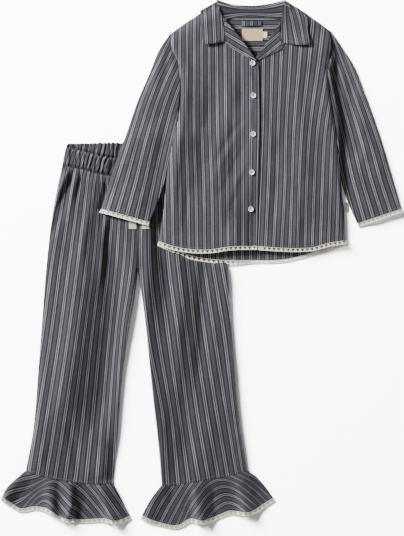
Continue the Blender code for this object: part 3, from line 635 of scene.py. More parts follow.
def waistband_back(at):
    """The back band stands up as a full tube above the front one's edge."""
    above = at[..., 1] - eased(at[..., 0], *np.transpose(WAIST_FRONT))
    return (2.2 * waves(at) + 3.4 * smooth((above - 0.5) / 5)) * (1 - 0.5 * covered(at))


def waistband_front(at):
    far = far_from(at, (WAIST_FRONT, WAIST_SEAM_FRONT))
    rolled = (0.8 + 1.2 * waves(at)) * np.exp(-((to_line(at, WAIST_FRONT)[0] / 6) ** 2))
    puffs = 2.2 * smooth(far / 6) + 3.6 * waves(at + (2.5, 0)) * smooth(far / 6 + 0.05) + rolled
    ends = [(WAIST_FRONT[end], WAIST_SEAM_FRONT[end]) for end in (0, -1)]
    puffs = puffs * rounded(far_from(at, ends), 9)
    return WALL + SEAM + np.maximum(waistband_back(at), at_waist_seam(at)) + puffs * (1 - 0.6 * covered(at))


def scalloped(place):
    """The same piece, with its top edge drawn up and down by the gathers."""

    def at(s, t):
        plain = place(s, t)
        lift = 2.4 * (waves(plain) - 0.45) * smooth(1 - t / 0.6) * smooth(np.minimum(s, 1 - s) / 0.03)
        corner = -4.0 * smooth(1 - s / 0.03) ** 2 * smooth(1 - t / 0.8)
        return plain + np.stack([np.zeros_like(lift), lift + corner], axis=-1)

    return at


def flounce_back(at):
    return BACK_WAVE_SHARE * np.maximum(creased(at, FLOUNCE_WAVES), 0)


def flounce_front(at):
    waves_here = creased(at, FLOUNCE_WAVES)
    far = far_from(at, (ANKLE_RIGHT, ANKLE_LEFT))
    from_leg = np.maximum(trouser_relief(at), 0) * smooth(1 - far / LEG_CARRY)
    relief = waves_here + from_leg + crumpled(at, FLOUNCE_LUMPS) * smooth(far / 10)
    return WALL + SEAM + np.maximum(relief, BACK_WAVE_SHARE * np.maximum(waves_here, 0))


def ground(at):
    """What the shirt lies on: the trousers where they are, and the floor beyond a ramp."""
    edge = np.array(OUTSIDE_LEFT)[::-1]
    past_side = at[..., 0] - np.interp(at[..., 1], edge[:, 1], edge[:, 0]) - 2
    past_waist = at[..., 1] - WAIST_BACK[1][1] - 2
    return SHIRT_LIFT * smooth(1 - past_side / LIFT_RAMP) * smooth(1 - past_waist / LIFT_RAMP)


def shirt_front(at):
    x, y = at[..., 0], at[..., 1]
    right, left = far_from(at, (ARMHOLE_RIGHT, SIDE_RIGHT)), far_from(at, (ARMHOLE_LEFT, SIDE_LEFT))
    shoulder = far_from(at, (SHOULDER_RIGHT, SHOULDER_LEFT))
    full = SHIRT_LOFT + SHIRT_ROLL * smooth((x - SHIRT_MIDDLE) / 120) * between(y, 20, 130, 480, 60)
    held_right, held_left = 0.45 * between(y, 150, 60, 440, 40), 0.95 * between(y, 140, 50, 440, 40)
    loft = full * (1 - (1 - rounded(right, 7)) * (1 - held_right)) * (1 - (1 - rounded(left, 5)) * (1 - held_left))
    beyond = y > eased(x, *np.transpose(SHOULDER_RIGHT + SHOULDER_LEFT))
    loft = loft * np.where(beyond, 0, rounded(shoulder, 26))
    free = smooth(np.minimum(np.minimum(right, shoulder) / 14, left / 5))
    relief = loft + free * (creased(at, SHIRT_CREASES) + crumpled(at, SHIRT_LUMPS))
    hem_lift = 2.2 * smooth((72 - y) / 34)
    return ground(at) + WALL + SEAM + hem_lift + np.maximum(relief, 0)


def sleeve_front(at):
    y, on_left = at[..., 1], at[..., 0] > SHIRT_MIDDLE
    full_edge, tight_edge = far_from(at, (SLEEVE_OUT_RIGHT,)), far_from(at, (SLEEVE_OUT_LEFT,))
    inner = far_from(at, (ARMHOLE_RIGHT, ARMHOLE_LEFT, SLEEVE_IN_RIGHT, SLEEVE_IN_LEFT))
    # the right sleeve keeps some height beside the body, most of all at the underarm
    at_shoulder = smooth((y - 370) / 40)
    low = 0.45 - 0.4 * at_shoulder + 0.5 * np.exp(-(((y - 325) / 36) ** 2))
    right_side = low + (1 - low) * smooth(inner / (38 - 20 * at_shoulder))
    # the left sleeve comes off the body's high side and lies low beside it
    left_side = smooth((inner - (4 + 20 * smooth((y - 190) / 60))) / 38)
    held = 1 + 4 * smooth((y - 230) / 60)
    slope = 9.4 * between(y, 180, 80, 446, 50) * smooth(1 - (inner - held) / 10) * rounded(tight_edge, 20) * on_left
    outer = 0.65 * rounded(full_edge, FULL_EDGE) + 0.35 * smooth(full_edge / 60)
    full = np.where(on_left, 1, outer) * rounded(tight_edge, TIGHT_EDGE)
    loft = SLEEVE_LOFT * full * np.where(on_left, left_side, right_side)
    cuff_lift = 2.6 * smooth((180 - y) / 80) * rounded(full_edge, 16) * (1 - on_left)
    free = smooth(np.minimum(np.minimum(full_edge, inner) / 16, tight_edge / 6))
    relief = loft + slope + cuff_lift + free * (creased(at, SLEEVE_CREASES) + crumpled(at, SLEEVE_LUMPS))
    return ground(at) + WALL + SEAM + 0.5 + np.maximum(relief, 0)


def lapped_front(at):
    """The right front, which rises over the left one as it nears the placket."""
    edge = np.array(PLACKET_EDGE)[::-1]
    seam = np.interp(at[..., 1], edge[:, 1], edge[:, 0]) - PLACKET_WIDTH
    lap = (WALL + SEAM + 0.6) * smooth((at[..., 0] - seam + LAP_START) / LAP_START)
    return shirt_front(at) + lap + smooth((at[..., 0] - seam - 6) / 10)


def near(at, edge, width):
    """1 on the edge, falling to 0 past that width."""
    return np.exp(-((far_from(at, (edge,)) / width) ** 2))


def lapel_right(at):
    return lapped_front(at) + WALL + SEAM + 2.2 * near(at, LAPEL_RIGHT.top, 9)


def lapel_left(at):
    return shirt_front(at) + WALL + SEAM + 1.0 * near(at, LAPEL_LEFT.top, 9)


def leaf_right(at):
    falling = smooth((500 - at[..., 1]) / 40)
    rolled = 3.4 * near(at, LEAF_RIGHT.bottom, 16) * smooth((46 - at[..., 0]) / 20)
    return shirt_front(at) + WALL + 0.5 + falling + rolled


def leaf_left(at):
    beside_neck, at_point = near(at, LEAF_LEFT.left[:3], 10), near(at, LEAF_LEFT.bottom[1:], 16)
    return shirt_front(at) + WALL + 1.5 + 2.4 * beside_neck + 3.4 * at_point


def on_yoke(at):
    return ground(at) + WALL + SEAM


def shirt_back(at):
    """The back falls a little to its hem, below the front's."""
    front_hem = eased(at[..., 0], *np.transpose(HEM_FRONT_RIGHT + HEM_FRONT_LEFT[1:]))
    return ground(at) - 1.8 * smooth((front_hem + 6 - at[..., 1]) / 22) * (ground(at) / SHIRT_LIFT)


def loop_height(at):
    """The hanging loop stands off the yoke between its two sewn ends."""
    start, _, end, _ = HANGING_LOOP
    return on_yoke(at) + LOOP_RISE * np.sin(np.clip((at[..., 0] - start) / (end - start), 0, 1) * math.pi)


def collar_roll(at):
    """The collar's inner face comes up from the neck seam to its rolled top."""
    up = np.maximum(smooth(far_from(at, (COLLAR_SEAM,)) / 24), 0.8 * smooth((64 - at[..., 0]) / 24))
    return on_yoke(at) + 0.6 * (COLLAR_ROLL - 2 * WALL - SEAM) * up


def tape_height(at):
    """The drawstring's ends lie on the trousers, and clear of their centre seam."""
    return np.maximum(trouser_front(at), WALL + SEAM + 1.9) + WALL + SEAM


def on_top(low, wall=WALL):
    """The upper side of a piece whose underside is at low."""
    return lambda at: low(at) + wall


# ---------------------------------------------------------------- where the stripes run


def guided(guides, sideways=False):
    """The cut's place in metres: across the stripes by the guides, and along them."""

    def at(place):
        across, along = (place[..., 1], place[..., 0]) if sideways else (place[..., 0], place[..., 1])
        lines = []
        for guide in guides:
            line = sorted((p[::-1] if not sideways else p) for p in guide.line)
            lines.append(eased(along, *np.transpose(line)))
        total = np.zeros(across.shape)
        for i in range(len(guides) - 1):
            share = (across - lines[i]) / (lines[i + 1] - lines[i])
            number = guides[i].number + share * (guides[i + 1].number - guides[i].number)
            total = np.where((i == 0) | (across > lines[i]), number, total)
        return np.stack([total * REPEAT, along], axis=-1) / 1000

    return at


def straight(point, degrees, spacing):
    """Stripes that run straight in one direction, with one of them through the point."""
    across = np.array((-math.sin(math.radians(degrees)), math.cos(math.radians(degrees))))
    along = np.array((across[1], -across[0]))

    def at(place):
        off = place - np.array(point)
        return np.stack([off @ across / spacing * REPEAT, off @ along], axis=-1) / 1000

    return at


def ringed(shares, angles):
    """The grain of a flounce cut from a ring, with the ring's angle at each share of the way between its side seams."""

    def at(s, t):
        angle = np.radians(eased(s, shares, angles))
        radius = FLOUNCE_INNER + (FLOUNCE_OUTER - FLOUNCE_INNER) * t
        return np.stack([radius * np.cos(angle), radius * np.sin(angle)], axis=-1) / 1000

    return at


# ---------------------------------------------------------------- shader groups and materials


def new_group(name, inputs, outputs):
    """An empty shader group with those sockets: (name, kind, value) in, and (name, kind) out."""
    group = bpy.data.node_groups.new(name, "ShaderNodeTree")
    for label, kind, value in inputs:
        group.interface.new_socket(label, in_out="INPUT", socket_type=kind).default_value = value
    for label, kind in outputs:
        group.interface.new_socket(label, in_out="OUTPUT", socket_type=kind)
    return group, group.nodes.new("NodeGroupInput"), group.nodes.new("NodeGroupOutput")


class Wiring:
    """Short words for adding nodes to one tree and joining them."""

    def __init__(self, tree):
        self.tree = tree

    def node(self, kind, values=None, **settings):
        made = self.tree.nodes.new(kind)
        for key, value in settings.items():
            setattr(made, key, value)
        for key, value in (values or {}).items():
            self.feed(made.inputs[key], value)
        return made

    def feed(self, socket, value):
        if isinstance(value, bpy.types.NodeSocket):
            self.tree.links.new(value, socket)
        else:
            socket.default_value = value

    def math(self, operation, *values):
        made = self.node("ShaderNodeMath", dict(enumerate(values)), operation=operation)
        return made.outputs[0]

    def ramp(self, value, low, high):
        """0 below low and 1 above high, with a smooth step between, or the reverse where low is above high."""
        values = {"Value": value, "From Min": low, "From Max": high}
        return self.node("ShaderNodeMapRange", values, interpolation_type="SMOOTHSTEP").outputs["Result"]

    def mix(self, share, first, second, blend="MIX"):
        made = self.node("ShaderNodeMix", data_type="RGBA", blend_type=blend)
        colours = [socket for socket in made.inputs if socket.type == "RGBA"]
        self.feed(made.inputs[0], share)
        self.feed(colours[0], first)
        self.feed(colours[1], second)
        return next(socket for socket in made.outputs if socket.type == "RGBA")

    def shaded(self, colour, factor):
        """The colour, times the factor."""
        grey = self.node("ShaderNodeCombineColor", {0: factor, 1: factor, 2: factor})
        return self.mix(1.0, colour, grey.outputs["Color"], "MULTIPLY")

    def noise(self, place, scale, detail):
        made = self.node("ShaderNodeTexNoise", {"Vector": place, "Scale": scale, "Detail": detail})
        return made.outputs["Fac"]


def yarn_group():
    """Woven yarns: the streaks of uneven warp and weft, and their height."""
    group, given, out = new_group(
        "woven_yarns",
        (("Cut", "NodeSocketVector", (0, 0, 0)), ("Pitch", "NodeSocketFloat", YARN_PITCH)),
        (("Tone", "NodeSocketFloat"), ("Height", "NodeSocketFloat")),
    )
    wire = Wiring(group)
    apart = wire.node("ShaderNodeSeparateXYZ", {0: given.outputs["Cut"]})
    across, along = apart.outputs["X"], apart.outputs["Y"]
    pitch = given.outputs["Pitch"]
    turns = [wire.math("DIVIDE", wire.math("MULTIPLY", side, math.tau), pitch) for side in (across, along)]
    ribs = wire.math("MULTIPLY", *(wire.math("SINE", turn) for turn in turns))
    streaks = []
    for stretch in ((1500, 60, 1), (60, 1500, 1)):
        place = wire.node("ShaderNodeVectorMath", {0: given.outputs["Cut"], 1: stretch}, operation="MULTIPLY")
        streaks.append(wire.noise(place.outputs["Vector"], 1.0, 1.0))
    tone = wire.math("MULTIPLY_ADD", wire.math("ADD", *streaks), 0.5, wire.math("MULTIPLY", ribs, 0.06))
    group.links.new(tone, out.inputs["Tone"])
    group.links.new(wire.math("MULTIPLY_ADD", ribs, 0.5, wire.math("MULTIPLY", tone, 0.6)), out.inputs["Height"])
    return group


def tone_group():
    """Soft uneven tone over a hand's width, and a little lint."""
    group, given, out = new_group(
        "cloth_tone",
        (("Color", "NodeSocketColor", (1, 1, 1, 1)), ("Amount", "NodeSocketFloat", 0.1)),
        (("Color", "NodeSocketColor"),),
    )
    wire = Wiring(group)
    place = wire.node("ShaderNodeTexCoord").outputs["Object"]
    patches = wire.math("SUBTRACT", wire.noise(place, 14.0, 3.0), 0.5)
    lint = wire.math("SUBTRACT", wire.noise(place, 420.0, 1.0), 0.5)
    change = wire.math("MULTIPLY", wire.math("ADD", patches, wire.math("MULTIPLY", lint, 0.8)), given.outputs["Amount"])
    factor = wire.math("ADD", wire.math("MULTIPLY", change, 2.0), 1.0)
    group.links.new(wire.shaded(given.outputs["Color"], factor), out.inputs["Color"])
    return group


def stripe_group():
    """Dyed warp stripes: a pair of pale lines, the ground beside them and a lighter band between two pairs."""
    group, given, out = new_group(
        "warp_stripes",
        (
            ("Cut", "NodeSocketVector", (0, 0, 0)),
            ("Ink", "NodeSocketColor", (*INK, 1)),
            ("Ground", "NodeSocketColor", (*GROUND, 1)),
            ("Band", "NodeSocketColor", (*BAND, 1)),
            ("Line", "NodeSocketColor", (*LINE, 1)),
        ),
        (("Color", "NodeSocketColor"), ("Lines", "NodeSocketFloat")),
    )
    wire = Wiring(group)
    across = wire.node("ShaderNodeSeparateXYZ", {0: given.outputs["Cut"]}).outputs["X"]
    from_pair = wire.math("PINGPONG", wire.math("DIVIDE", across, REPEAT / 1000), 0.5)
    stretched = wire.node("ShaderNodeVectorMath", {0: given.outputs["Cut"], 1: (90, 22, 1)}, operation="MULTIPLY")
    wear = wire.math("MULTIPLY_ADD", wire.noise(stretched.outputs["Vector"], 1.0, 3.0), 1.5, 0.05)
    lines = wire.ramp(wire.math("ABSOLUTE", wire.math("SUBTRACT", from_pair, 0.104)), 0.037, 0.020)
    lines = wire.math("MULTIPLY", lines, wire.math("MINIMUM", wear, 1.0))
    pins = wire.ramp(wire.math("ABSOLUTE", wire.math("SUBTRACT", from_pair, 0.40)), 0.022, 0.010)
    band = wire.ramp(from_pair, 0.29, 0.36)
    dark = wire.ramp(from_pair, 0.16, 0.21)
    colour = wire.mix(dark, given.outputs["Band"], given.outputs["Ink"])
    colour = wire.mix(band, colour, given.outputs["Band"])
    colour = wire.mix(wire.math("MULTIPLY", pins, wire.math("MULTIPLY", wear, 0.22)), colour, given.outputs["Line"])
    colour = wire.mix(0.30, colour, given.outputs["Ground"])
    colour = wire.mix(lines, colour, given.outputs["Line"])
    group.links.new(colour, out.inputs["Color"])
    group.links.new(lines, out.inputs["Lines"])
    return group


def base_material(name, roughness, sheen=0.0, specular=0.35):
    material = bpy.data.materials.new(name)
    material.use_nodes = True
    shader = material.node_tree.nodes["Principled BSDF"]
    shader.inputs["Roughness"].default_value = roughness
    shader.inputs["Sheen Weight"].default_value = sheen
    shader.inputs["Sheen Roughness"].default_value = 0.5
    shader.inputs["Specular IOR Level"].default_value = specular
    return material, Wiring(material.node_tree), shader


def raise_bump(wire, shader, height, strength, distance):
    bump = wire.node("ShaderNodeBump", {"Height": height, "Strength": strength, "Distance": distance})
    wire.tree.links.new(bump.outputs["Normal"], shader.inputs["Normal"])


def lay_yarns(groups, wire, place, pitch=YARN_PITCH):
    """The outputs of the woven yarns over that place."""
    return wire.node("ShaderNodeGroup", {"Cut": place, "Pitch": pitch}, node_tree=groups["yarns"]).outputs


def streaked(wire, yarns, colour, contrast):
    """The colour, lighter and darker along the yarns."""
    return wire.shaded(colour, wire.math("MULTIPLY_ADD", wire.math("SUBTRACT", yarns["Tone"], 0.5), contrast, 1.0))


def dye(groups, wire, shader, colour, amount):
    """Gives the cloth its colour, with that amount of uneven tone."""
    tone = wire.node("ShaderNodeGroup", {"Color": colour, "Amount": amount}, node_tree=groups["tone"])
    wire.feed(shader.inputs["Base Color"], tone.outputs["Color"])


def striped_cotton(groups, name, depth):
    """Yarn-dyed chambray, brushed a little, with the stripes woven in. depth below 1 darkens every colour of it, as
    painted shade.
    """
    material, wire, shader = base_material(name, 0.88, 0.04, 0.12)
    place = wire.node("ShaderNodeUVMap", uv_map="UVMap").outputs["UV"]
    values = {"Cut": place}
    for label, colour in (("Ink", INK), ("Ground", GROUND), ("Band", BAND), ("Line", LINE)):
        values[label] = (*(channel * depth for channel in colour), 1)
    stripes = wire.node("ShaderNodeGroup", values, node_tree=groups["stripes"])
    yarns = lay_yarns(groups, wire, place)
    dye(groups, wire, shader, streaked(wire, yarns, stripes.outputs["Color"], 1.1), 0.16)
    raise_bump(wire, shader, wire.math("MULTIPLY_ADD", stripes.outputs["Lines"], 0.5, yarns["Height"]), 0.35, 0.0004)
    return material


def plain_cloth(groups, name, colour, pitch, roughness, tone_amount, bump, turn=0):
    """One colour of cotton, as tape, thread and labels are. Its ribs are turned by that many degrees."""
    material, wire, shader = base_material(name, roughness, 0.1)
    place = wire.node("ShaderNodeTexCoord").outputs["Object"]
    place = wire.node("ShaderNodeMapping", {"Vector": place, "Rotation": (0, 0, math.radians(turn))}).outputs["Vector"]
    yarns = lay_yarns(groups, wire, place, pitch)
    dye(groups, wire, shader, streaked(wire, yarns, (*colour, 1), 0.7), tone_amount)
    raise_bump(wire, shader, yarns["Height"], bump, 0.0005)
    return material


def lace_cotton(groups):
    """Cotton lace: raised bars round the open triangles and a sunk eyelet between two of them, both painted darker as
    shade that falls through the holes.
    """
    material, wire, shader = base_material("cotton_lace", 0.9, 0.1)
    apart = wire.node("ShaderNodeSeparateXYZ", {0: wire.node("ShaderNodeUVMap", uv_map="UVMap").outputs["UV"]})
    across = wire.math("DIVIDE", apart.outputs["Y"], LACE_WIDTH / 1000)
    from_eyelet = wire.math("PINGPONG", wire.math("DIVIDE", apart.outputs["X"], LACE_CELL / 1000), 0.5)
    sloping = wire.math("MULTIPLY_ADD", wire.math("SUBTRACT", across, LACE_ROWS[1]), -0.552, LACE_HALF_TOP)
    outside = wire.math("SUBTRACT", wire.math("SUBTRACT", 0.5, from_eyelet), sloping)
    band = wire.math("MULTIPLY", wire.ramp(across, 0.03, 0.12), wire.ramp(across, 0.92, 0.80))
    bars = wire.math("MULTIPLY", wire.ramp(outside, 0.11, 0.02), band)
    away = wire.math("MULTIPLY", wire.math("ABSOLUTE", wire.math("SUBTRACT", across, 0.66)), LACE_WIDTH / LACE_CELL)
    squares = wire.math("ADD", *(wire.math("POWER", side, 2.0) for side in (away, from_eyelet)))
    eyelet = wire.ramp(wire.math("SQRT", squares), 0.12, 0.05)
    # painted shade: the rims of the holes and the eyelets are darkened for the shadow that falls through them; bars and
    # eyelet also raise and sink the bump
    shaded = wire.math("MAXIMUM", wire.math("MULTIPLY", bars, 0.8), wire.math("MULTIPLY", eyelet, 0.9))
    yarns = lay_yarns(groups, wire, wire.node("ShaderNodeTexCoord").outputs["Object"], 0.0011)
    dye(groups, wire, shader, wire.mix(shaded, (*LACE, 1), (*LACE_PAINTED_SHADE, 1)), 0.22)
    raise_bump(wire, shader, wire.math("SUBTRACT", wire.math("ADD", yarns["Height"], bars), eyelet), 0.5, 0.0005)
    return material


def shell_button():
    """Pearly white, with soft clouds in its depth and a smooth shine."""
    material, wire, shader = base_material("shell_button", 0.26, 0.0, 0.5)
    clouds = wire.noise(wire.node("ShaderNodeTexCoord").outputs["Object"], 260.0, 3.0)
    wire.feed(shader.inputs["Base Color"], wire.mix(clouds, (*SHELL, 1), (*SHELL_DEPTH, 1)))
    wire.feed(shader.inputs["Roughness"], wire.math("MULTIPLY_ADD", clouds, 0.16, 0.16))
    shader.inputs["Coat Weight"].default_value = 0.3
    return material


def make_materials():
    groups = {"yarns": yarn_group(), "tone": tone_group(), "stripes": stripe_group()}
    return {
        "striped_cotton": striped_cotton(groups, "striped_cotton", 1.0),
        # the trousers: the same cloth, darkened as painted shade
        "shaded_trouser_cotton": striped_cotton(groups, "shaded_trouser_cotton", 0.82),
        "cotton_lace": lace_cotton(groups),
        "woven_tape": plain_cloth(groups, "woven_tape", TAPE, 0.0014, 0.88, 0.10, 0.7, 45),
        "woven_label": plain_cloth(groups, "woven_label", LABEL, 0.0006, 0.6, 0.08, 0.3),
        "size_label": plain_cloth(groups, "size_label", TAB, 0.0006, 0.6, 0.08, 0.3),
        "shell_button": shell_button(),
        "sewing_thread": plain_cloth(groups, "sewing_thread", THREAD, 0.0006, 0.7, 0.10, 0.3),
        "button_thread": plain_cloth(groups, "button_thread", BUTTON_THREAD, 0.0006, 0.7, 0.10, 0.3),
    }


# ---------------------------------------------------------------- making the pieces


def corners_of(mesh):
    places = np.empty(len(mesh.vertices) * 3, np.float32)
    mesh.vertices.foreach_get("co", places)
    return places.reshape(-1, 3).astype(float)


def shape(piece, places):
    """Puts the vertices at those places, given in millimetres of the layout."""
    places = np.array(places, float)
    places[:, :2] -= LAYOUT_CENTRE
    piece.data.vertices.foreach_set("co", (places / 1000).astype(np.float32).ravel())
    piece.data.update()


def lay_out_cut(mesh, cut_places):
    """Gives the UV map the place of each corner in the cut, in metres."""
    corners = np.empty(len(mesh.loops), np.int32)
    mesh.loops.foreach_get("vertex_index", corners)
    mesh.uv_layers[0].uv.foreach_set("vector", cut_places[corners].astype(np.float32).ravel())


def edit(step):
    """Takes the step in Edit Mode, with everything selected before it."""
    bpy.ops.object.mode_set(mode="EDIT")
    bpy.ops.mesh.select_all(action="SELECT")
    step()
    bpy.ops.object.mode_set(mode="OBJECT")


def face_outwards():
    edit(lambda: bpy.ops.mesh.normals_make_consistent(inside=False))


def added(name):
    piece = bpy.context.object
    piece.name = piece.data.name = name
    return piece


def deselect():
    bpy.ops.object.select_all(action="DESELECT")


def grid(name, across, along):
    deselect()
    bpy.ops.mesh.primitive_grid_add(x_subdivisions=across, y_subdivisions=along, size=1)
    return added(name)


def add_wall(piece, bend, cut_of):
    """Gives a flat grid its wall, bends it to its form and lays out its cut."""
    edit(lambda: bpy.ops.mesh.extrude_region_move(TRANSFORM_OT_translate={"value": (0, 0, 1)}))
    slots = corners_of(piece.data)
    s, t, k = slots[:, 0] + 0.5, 0.5 - slots[:, 1], slots[:, 2]
    shape(piece, bend(s, t, k))
    lay_out_cut(piece.data, cut_of(s, t))
    face_outwards()


def finish_piece(piece, material, nodes, smooth_angle=50):
    """Gives the piece its material and its body, and hides the nodes that it stands for."""
    piece.data.materials.clear()
    piece.data.materials.append(material)
    deselect()
    piece.select_set(True)
    bpy.context.view_layer.objects.active = piece
    bpy.ops.object.shade_smooth_by_angle(angle=math.radians(smooth_angle))
    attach(piece, "root")
    if nodes:
        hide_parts(*nodes)


def flat(place, low, wall=WALL):
    """The form of a sheet whose underside is at low."""

    def bend(s, t, k):
        at = place(s, t)
        return np.concatenate([at, (low(at) + wall * k)[..., None]], axis=-1)

    return bend


def fold_columns(s, layer, share):
    """The columns of a folded piece: their numbers, whether each lies below, and its share of the way across."""
    step = np.rint(s * (2 * layer + FOLD_ARC))
    lower = step <= layer
    past = np.clip(step - layer - FOLD_ARC, 0, None)
    return step, lower, np.where(lower, share * (1 - step / layer), past / layer)


def folded(place, under, over, layer, share=1.0, wall=WALL):
    """The form of a cloth folded at s = 0, with that many faces across each layer."""

    def bend(s, t, k):
        step, lower, across = fold_columns(s, layer, share)
        laid = lower | (step >= layer + FOLD_ARC)
        at = place(across, t)
        edge, inner = place(np.zeros_like(t), t), place(np.full_like(t, 0.04), t)
        floor, roof = under(edge) + wall, over(edge)
        angle = np.clip((step - layer) / FOLD_ARC, 0, 1) * math.pi
        radius = (roof - floor) / 2 + wall * k
        turned = edge + unit(edge - inner) * (radius * np.sin(angle))[..., None]
        height = np.where(lower, under(at) + wall * (1 - k), over(at) + wall * k)
        height = np.where(laid, height, (floor + roof) / 2 - radius * np.cos(angle))
        return np.concatenate([np.where(laid[..., None], at, turned), height[..., None]], axis=-1)

    return bend


def cut_size(place):
    """The flat width, length and area of a cut, in metres, from its place in the layout."""
    s, t = np.meshgrid(np.linspace(0, 1, 25), np.linspace(0, 1, 25))
    at = place(s, t) / 1000
    rows, columns = np.diff(at, axis=1), np.diff(at, axis=0)
    width = np.linalg.norm(rows, axis=-1).sum(1).max()
    length = np.linalg.norm(columns, axis=-1).sum(0).max()
    a, b = rows[:-1], columns[:, :-1]
    area = np.abs(a[..., 0] * b[..., 1] - a[..., 1] * b[..., 0]).sum()
    return width, length, min(area, width * length)


def cloth(node, place, bend, grain, materials, across=None, fullness=1.0, layers=1, along=None):
    """A cloth piece in place of a node: a slab of fine faces, bent to its form, with its pressed edges thinner."""
    wide, long_, area = cut_size(place)
    across = across or max(2, round(wide * 1000 / CELL))
    along = along or max(2, round(long_ * 1000 / CELL))
    piece = grid(f"{node}_cloth", across, along)

    def pressed(s, t, k):
        rim = (np.minimum(s, t) < 1e-4) | (np.maximum(s, t) > 1 - 1e-4)
        return bend(s, t, np.where(rim, 0.5 + (k - 0.5) * 0.5, k))

    add_wall(piece, pressed, grain)
    of_trousers = node.startswith(("trousers", "waistband", "flounce"))
    # the trousers take the darker copy of the cloth, which is painted shade
    look = "shaded_trouser_cotton" if of_trousers else "striped_cotton"
    finish_piece(piece, materials[look], [node])
    wide *= fullness * layers
    area *= fullness * layers


def by_place(place, grain):
    """A grain given over the layout, as a function of (s, t)."""
    return lambda s, t: grain(place(s, t))


def by_layers(place, grain, layer, share=1.0):
    """The same on a folded piece, whose lower layer runs the other way."""

    def at(s, t):
        _, lower, across = fold_columns(s, layer, share)
        cut_place = grain(place(across, t))
        return np.stack([np.where(lower, -cut_place[..., 0], cut_place[..., 0]), cut_place[..., 1]], axis=-1)

    return at


# ---------------------------------------------------------------- trousers


def make_leg(materials, side, outside, inseam, ankle, hem, sides, angles, grain, on_left_of_layout):
    """The front and back panel of one leg, its flounce and the flounce's lace."""
    clear = -SEAM / 2 if on_left_of_layout else SEAM / 2
    for layer, low, waist, below in (
        ("back", trouser_back, WAIST_SEAM_BACK, []),
        ("front", trouser_front, WAIST_SEAM_FRONT, [f"trousers_back_{side}"]),
    ):
        middle = len(waist) // 2
        top = path(waist[: middle + 1] if on_left_of_layout else waist[middle:])
        centre_seam = moved(path((waist[middle], *CENTRE_SEAM)), clear, 0)
        edges = [path(outside), joined(centre_seam, path(inseam), CENTRE_SHARE)]
        place = patch(moved(top, clear, -CUT_GAP), path(ankle), *edges[:: 1 if on_left_of_layout else -1])
        bend, cut_places = flat(place, low), by_place(place, guided(grain))
        cloth(f"trousers_{layer}_{side}", place, bend, cut_places, materials, 80 if below else None)
    edge = path(hem)
    place = patch(moved(path(ankle), 0, -CUT_GAP), edge, *(path(line) for line in sides))
    for layer, low in (("back", flounce_back), ("front", flounce_front)):
        node = f"flounce_{layer}_{side}"
        cloth(node, place, flat(place, low), ringed(*angles), materials, 110, FLOUNCE_FULLNESS)
        make_lace(f"lace_{node}", edge, low, materials)


def make_trousers(materials):
    make_leg(
        materials, "right", OUTSIDE_RIGHT, INSEAM_RIGHT, ANKLE_RIGHT, FLOUNCE_HEM_RIGHT, FLOUNCE_SIDES_RIGHT,
        RING_RIGHT, GRAIN_LEG_RIGHT, True,
    )  # fmt: skip
    make_leg(
        materials, "left", OUTSIDE_LEFT, INSEAM_LEFT, ANKLE_LEFT, FLOUNCE_HEM_LEFT, FLOUNCE_SIDES_LEFT,
        RING_LEFT, GRAIN_LEG_LEFT, False,
    )  # fmt: skip
    for layer, low, top, seam, degrees, spacing in (
        ("back", waistband_back, WAIST_BACK, WAIST_SEAM_BACK, 80, 13.0),
        ("front", waistband_front, WAIST_FRONT, WAIST_SEAM_FRONT, 72, 13.5),
    ):
        sides = [path((top[end], seam[end])) for end in (0, -1)]
        place = scalloped(patch(path(top), path(seam), *sides))
        bend, grain = flat(place, low), by_place(place, straight((-257, 200), degrees, spacing))
        cloth(f"waistband_{layer}", place, bend, grain, materials, 240, WAIST_FULLNESS, along=26)
    for side, corners in TIES.items():
        make_tie(side, corners, materials)


def make_tie(side, corners, materials):
    """One flat end of the drawstring, cut straight."""
    place = rectangle(*corners)
    piece = grid(f"tie_{side}_tape", 6, 34)
    add_wall(piece, flat(place, tape_height, TRIM_WALL), lambda s, t: place(s, t) / 1000)
    finish_piece(piece, materials["woven_tape"], [f"tie_{side}"])
    rows = np.linspace(0, 1, 35)
    line = place(np.full_like(rows, 0.5), rows)
    heights = tape_height(line) + TRIM_WALL / 2


# ---------------------------------------------------------------- lace


def lace_columns(s, t, cells, shift=0):
    """Moves the columns of the lace's grid, two to a cell, so that each cell has one open triangle, point down.

    With a shift of 1 the triangles are half a cell further on.
    """
    step = np.rint(s * cells * 2) + shift
    down = np.clip((t - LACE_ROWS[1]) / (LACE_ROWS[4] - LACE_ROWS[1]), 0, 1)
    half = LACE_HALF_TOP + (LACE_HALF_FOOT - LACE_HALF_TOP) * down
    places = np.where(step % 2 == 0, 0.5 - half, 0.5 + half)
    inside_ends = np.clip((step // 2 + places - 0.5 * shift) / cells, 0, 1)
    last = cells * 2 + shift
    return np.where(step >= last, 1, np.where(step <= shift, 0, inside_ends))


def make_lace(node, edge, low, materials):
    """A narrow cotton lace with a row of open triangles and a scalloped edge, sewn along a hem."""
    length = np.linalg.norm(np.diff(edge(np.linspace(0, 1, 60)), axis=0), axis=1).sum()
    cells = max(3, round(length / LACE_CELL))
    place = strip(edge, CUT_GAP, LACE_WIDTH)
    bend = flat(place, low, TRIM_WALL)
    shift = 1 if "back" in node else 0
    open_columns = range(2 + shift, 2 * cells - 1, 2)

    def columns(s, t):
        return lace_columns(s, t, cells, shift)

    lace_band(node, place, bend, cells, columns, cells * 2, open_columns, materials, shift)


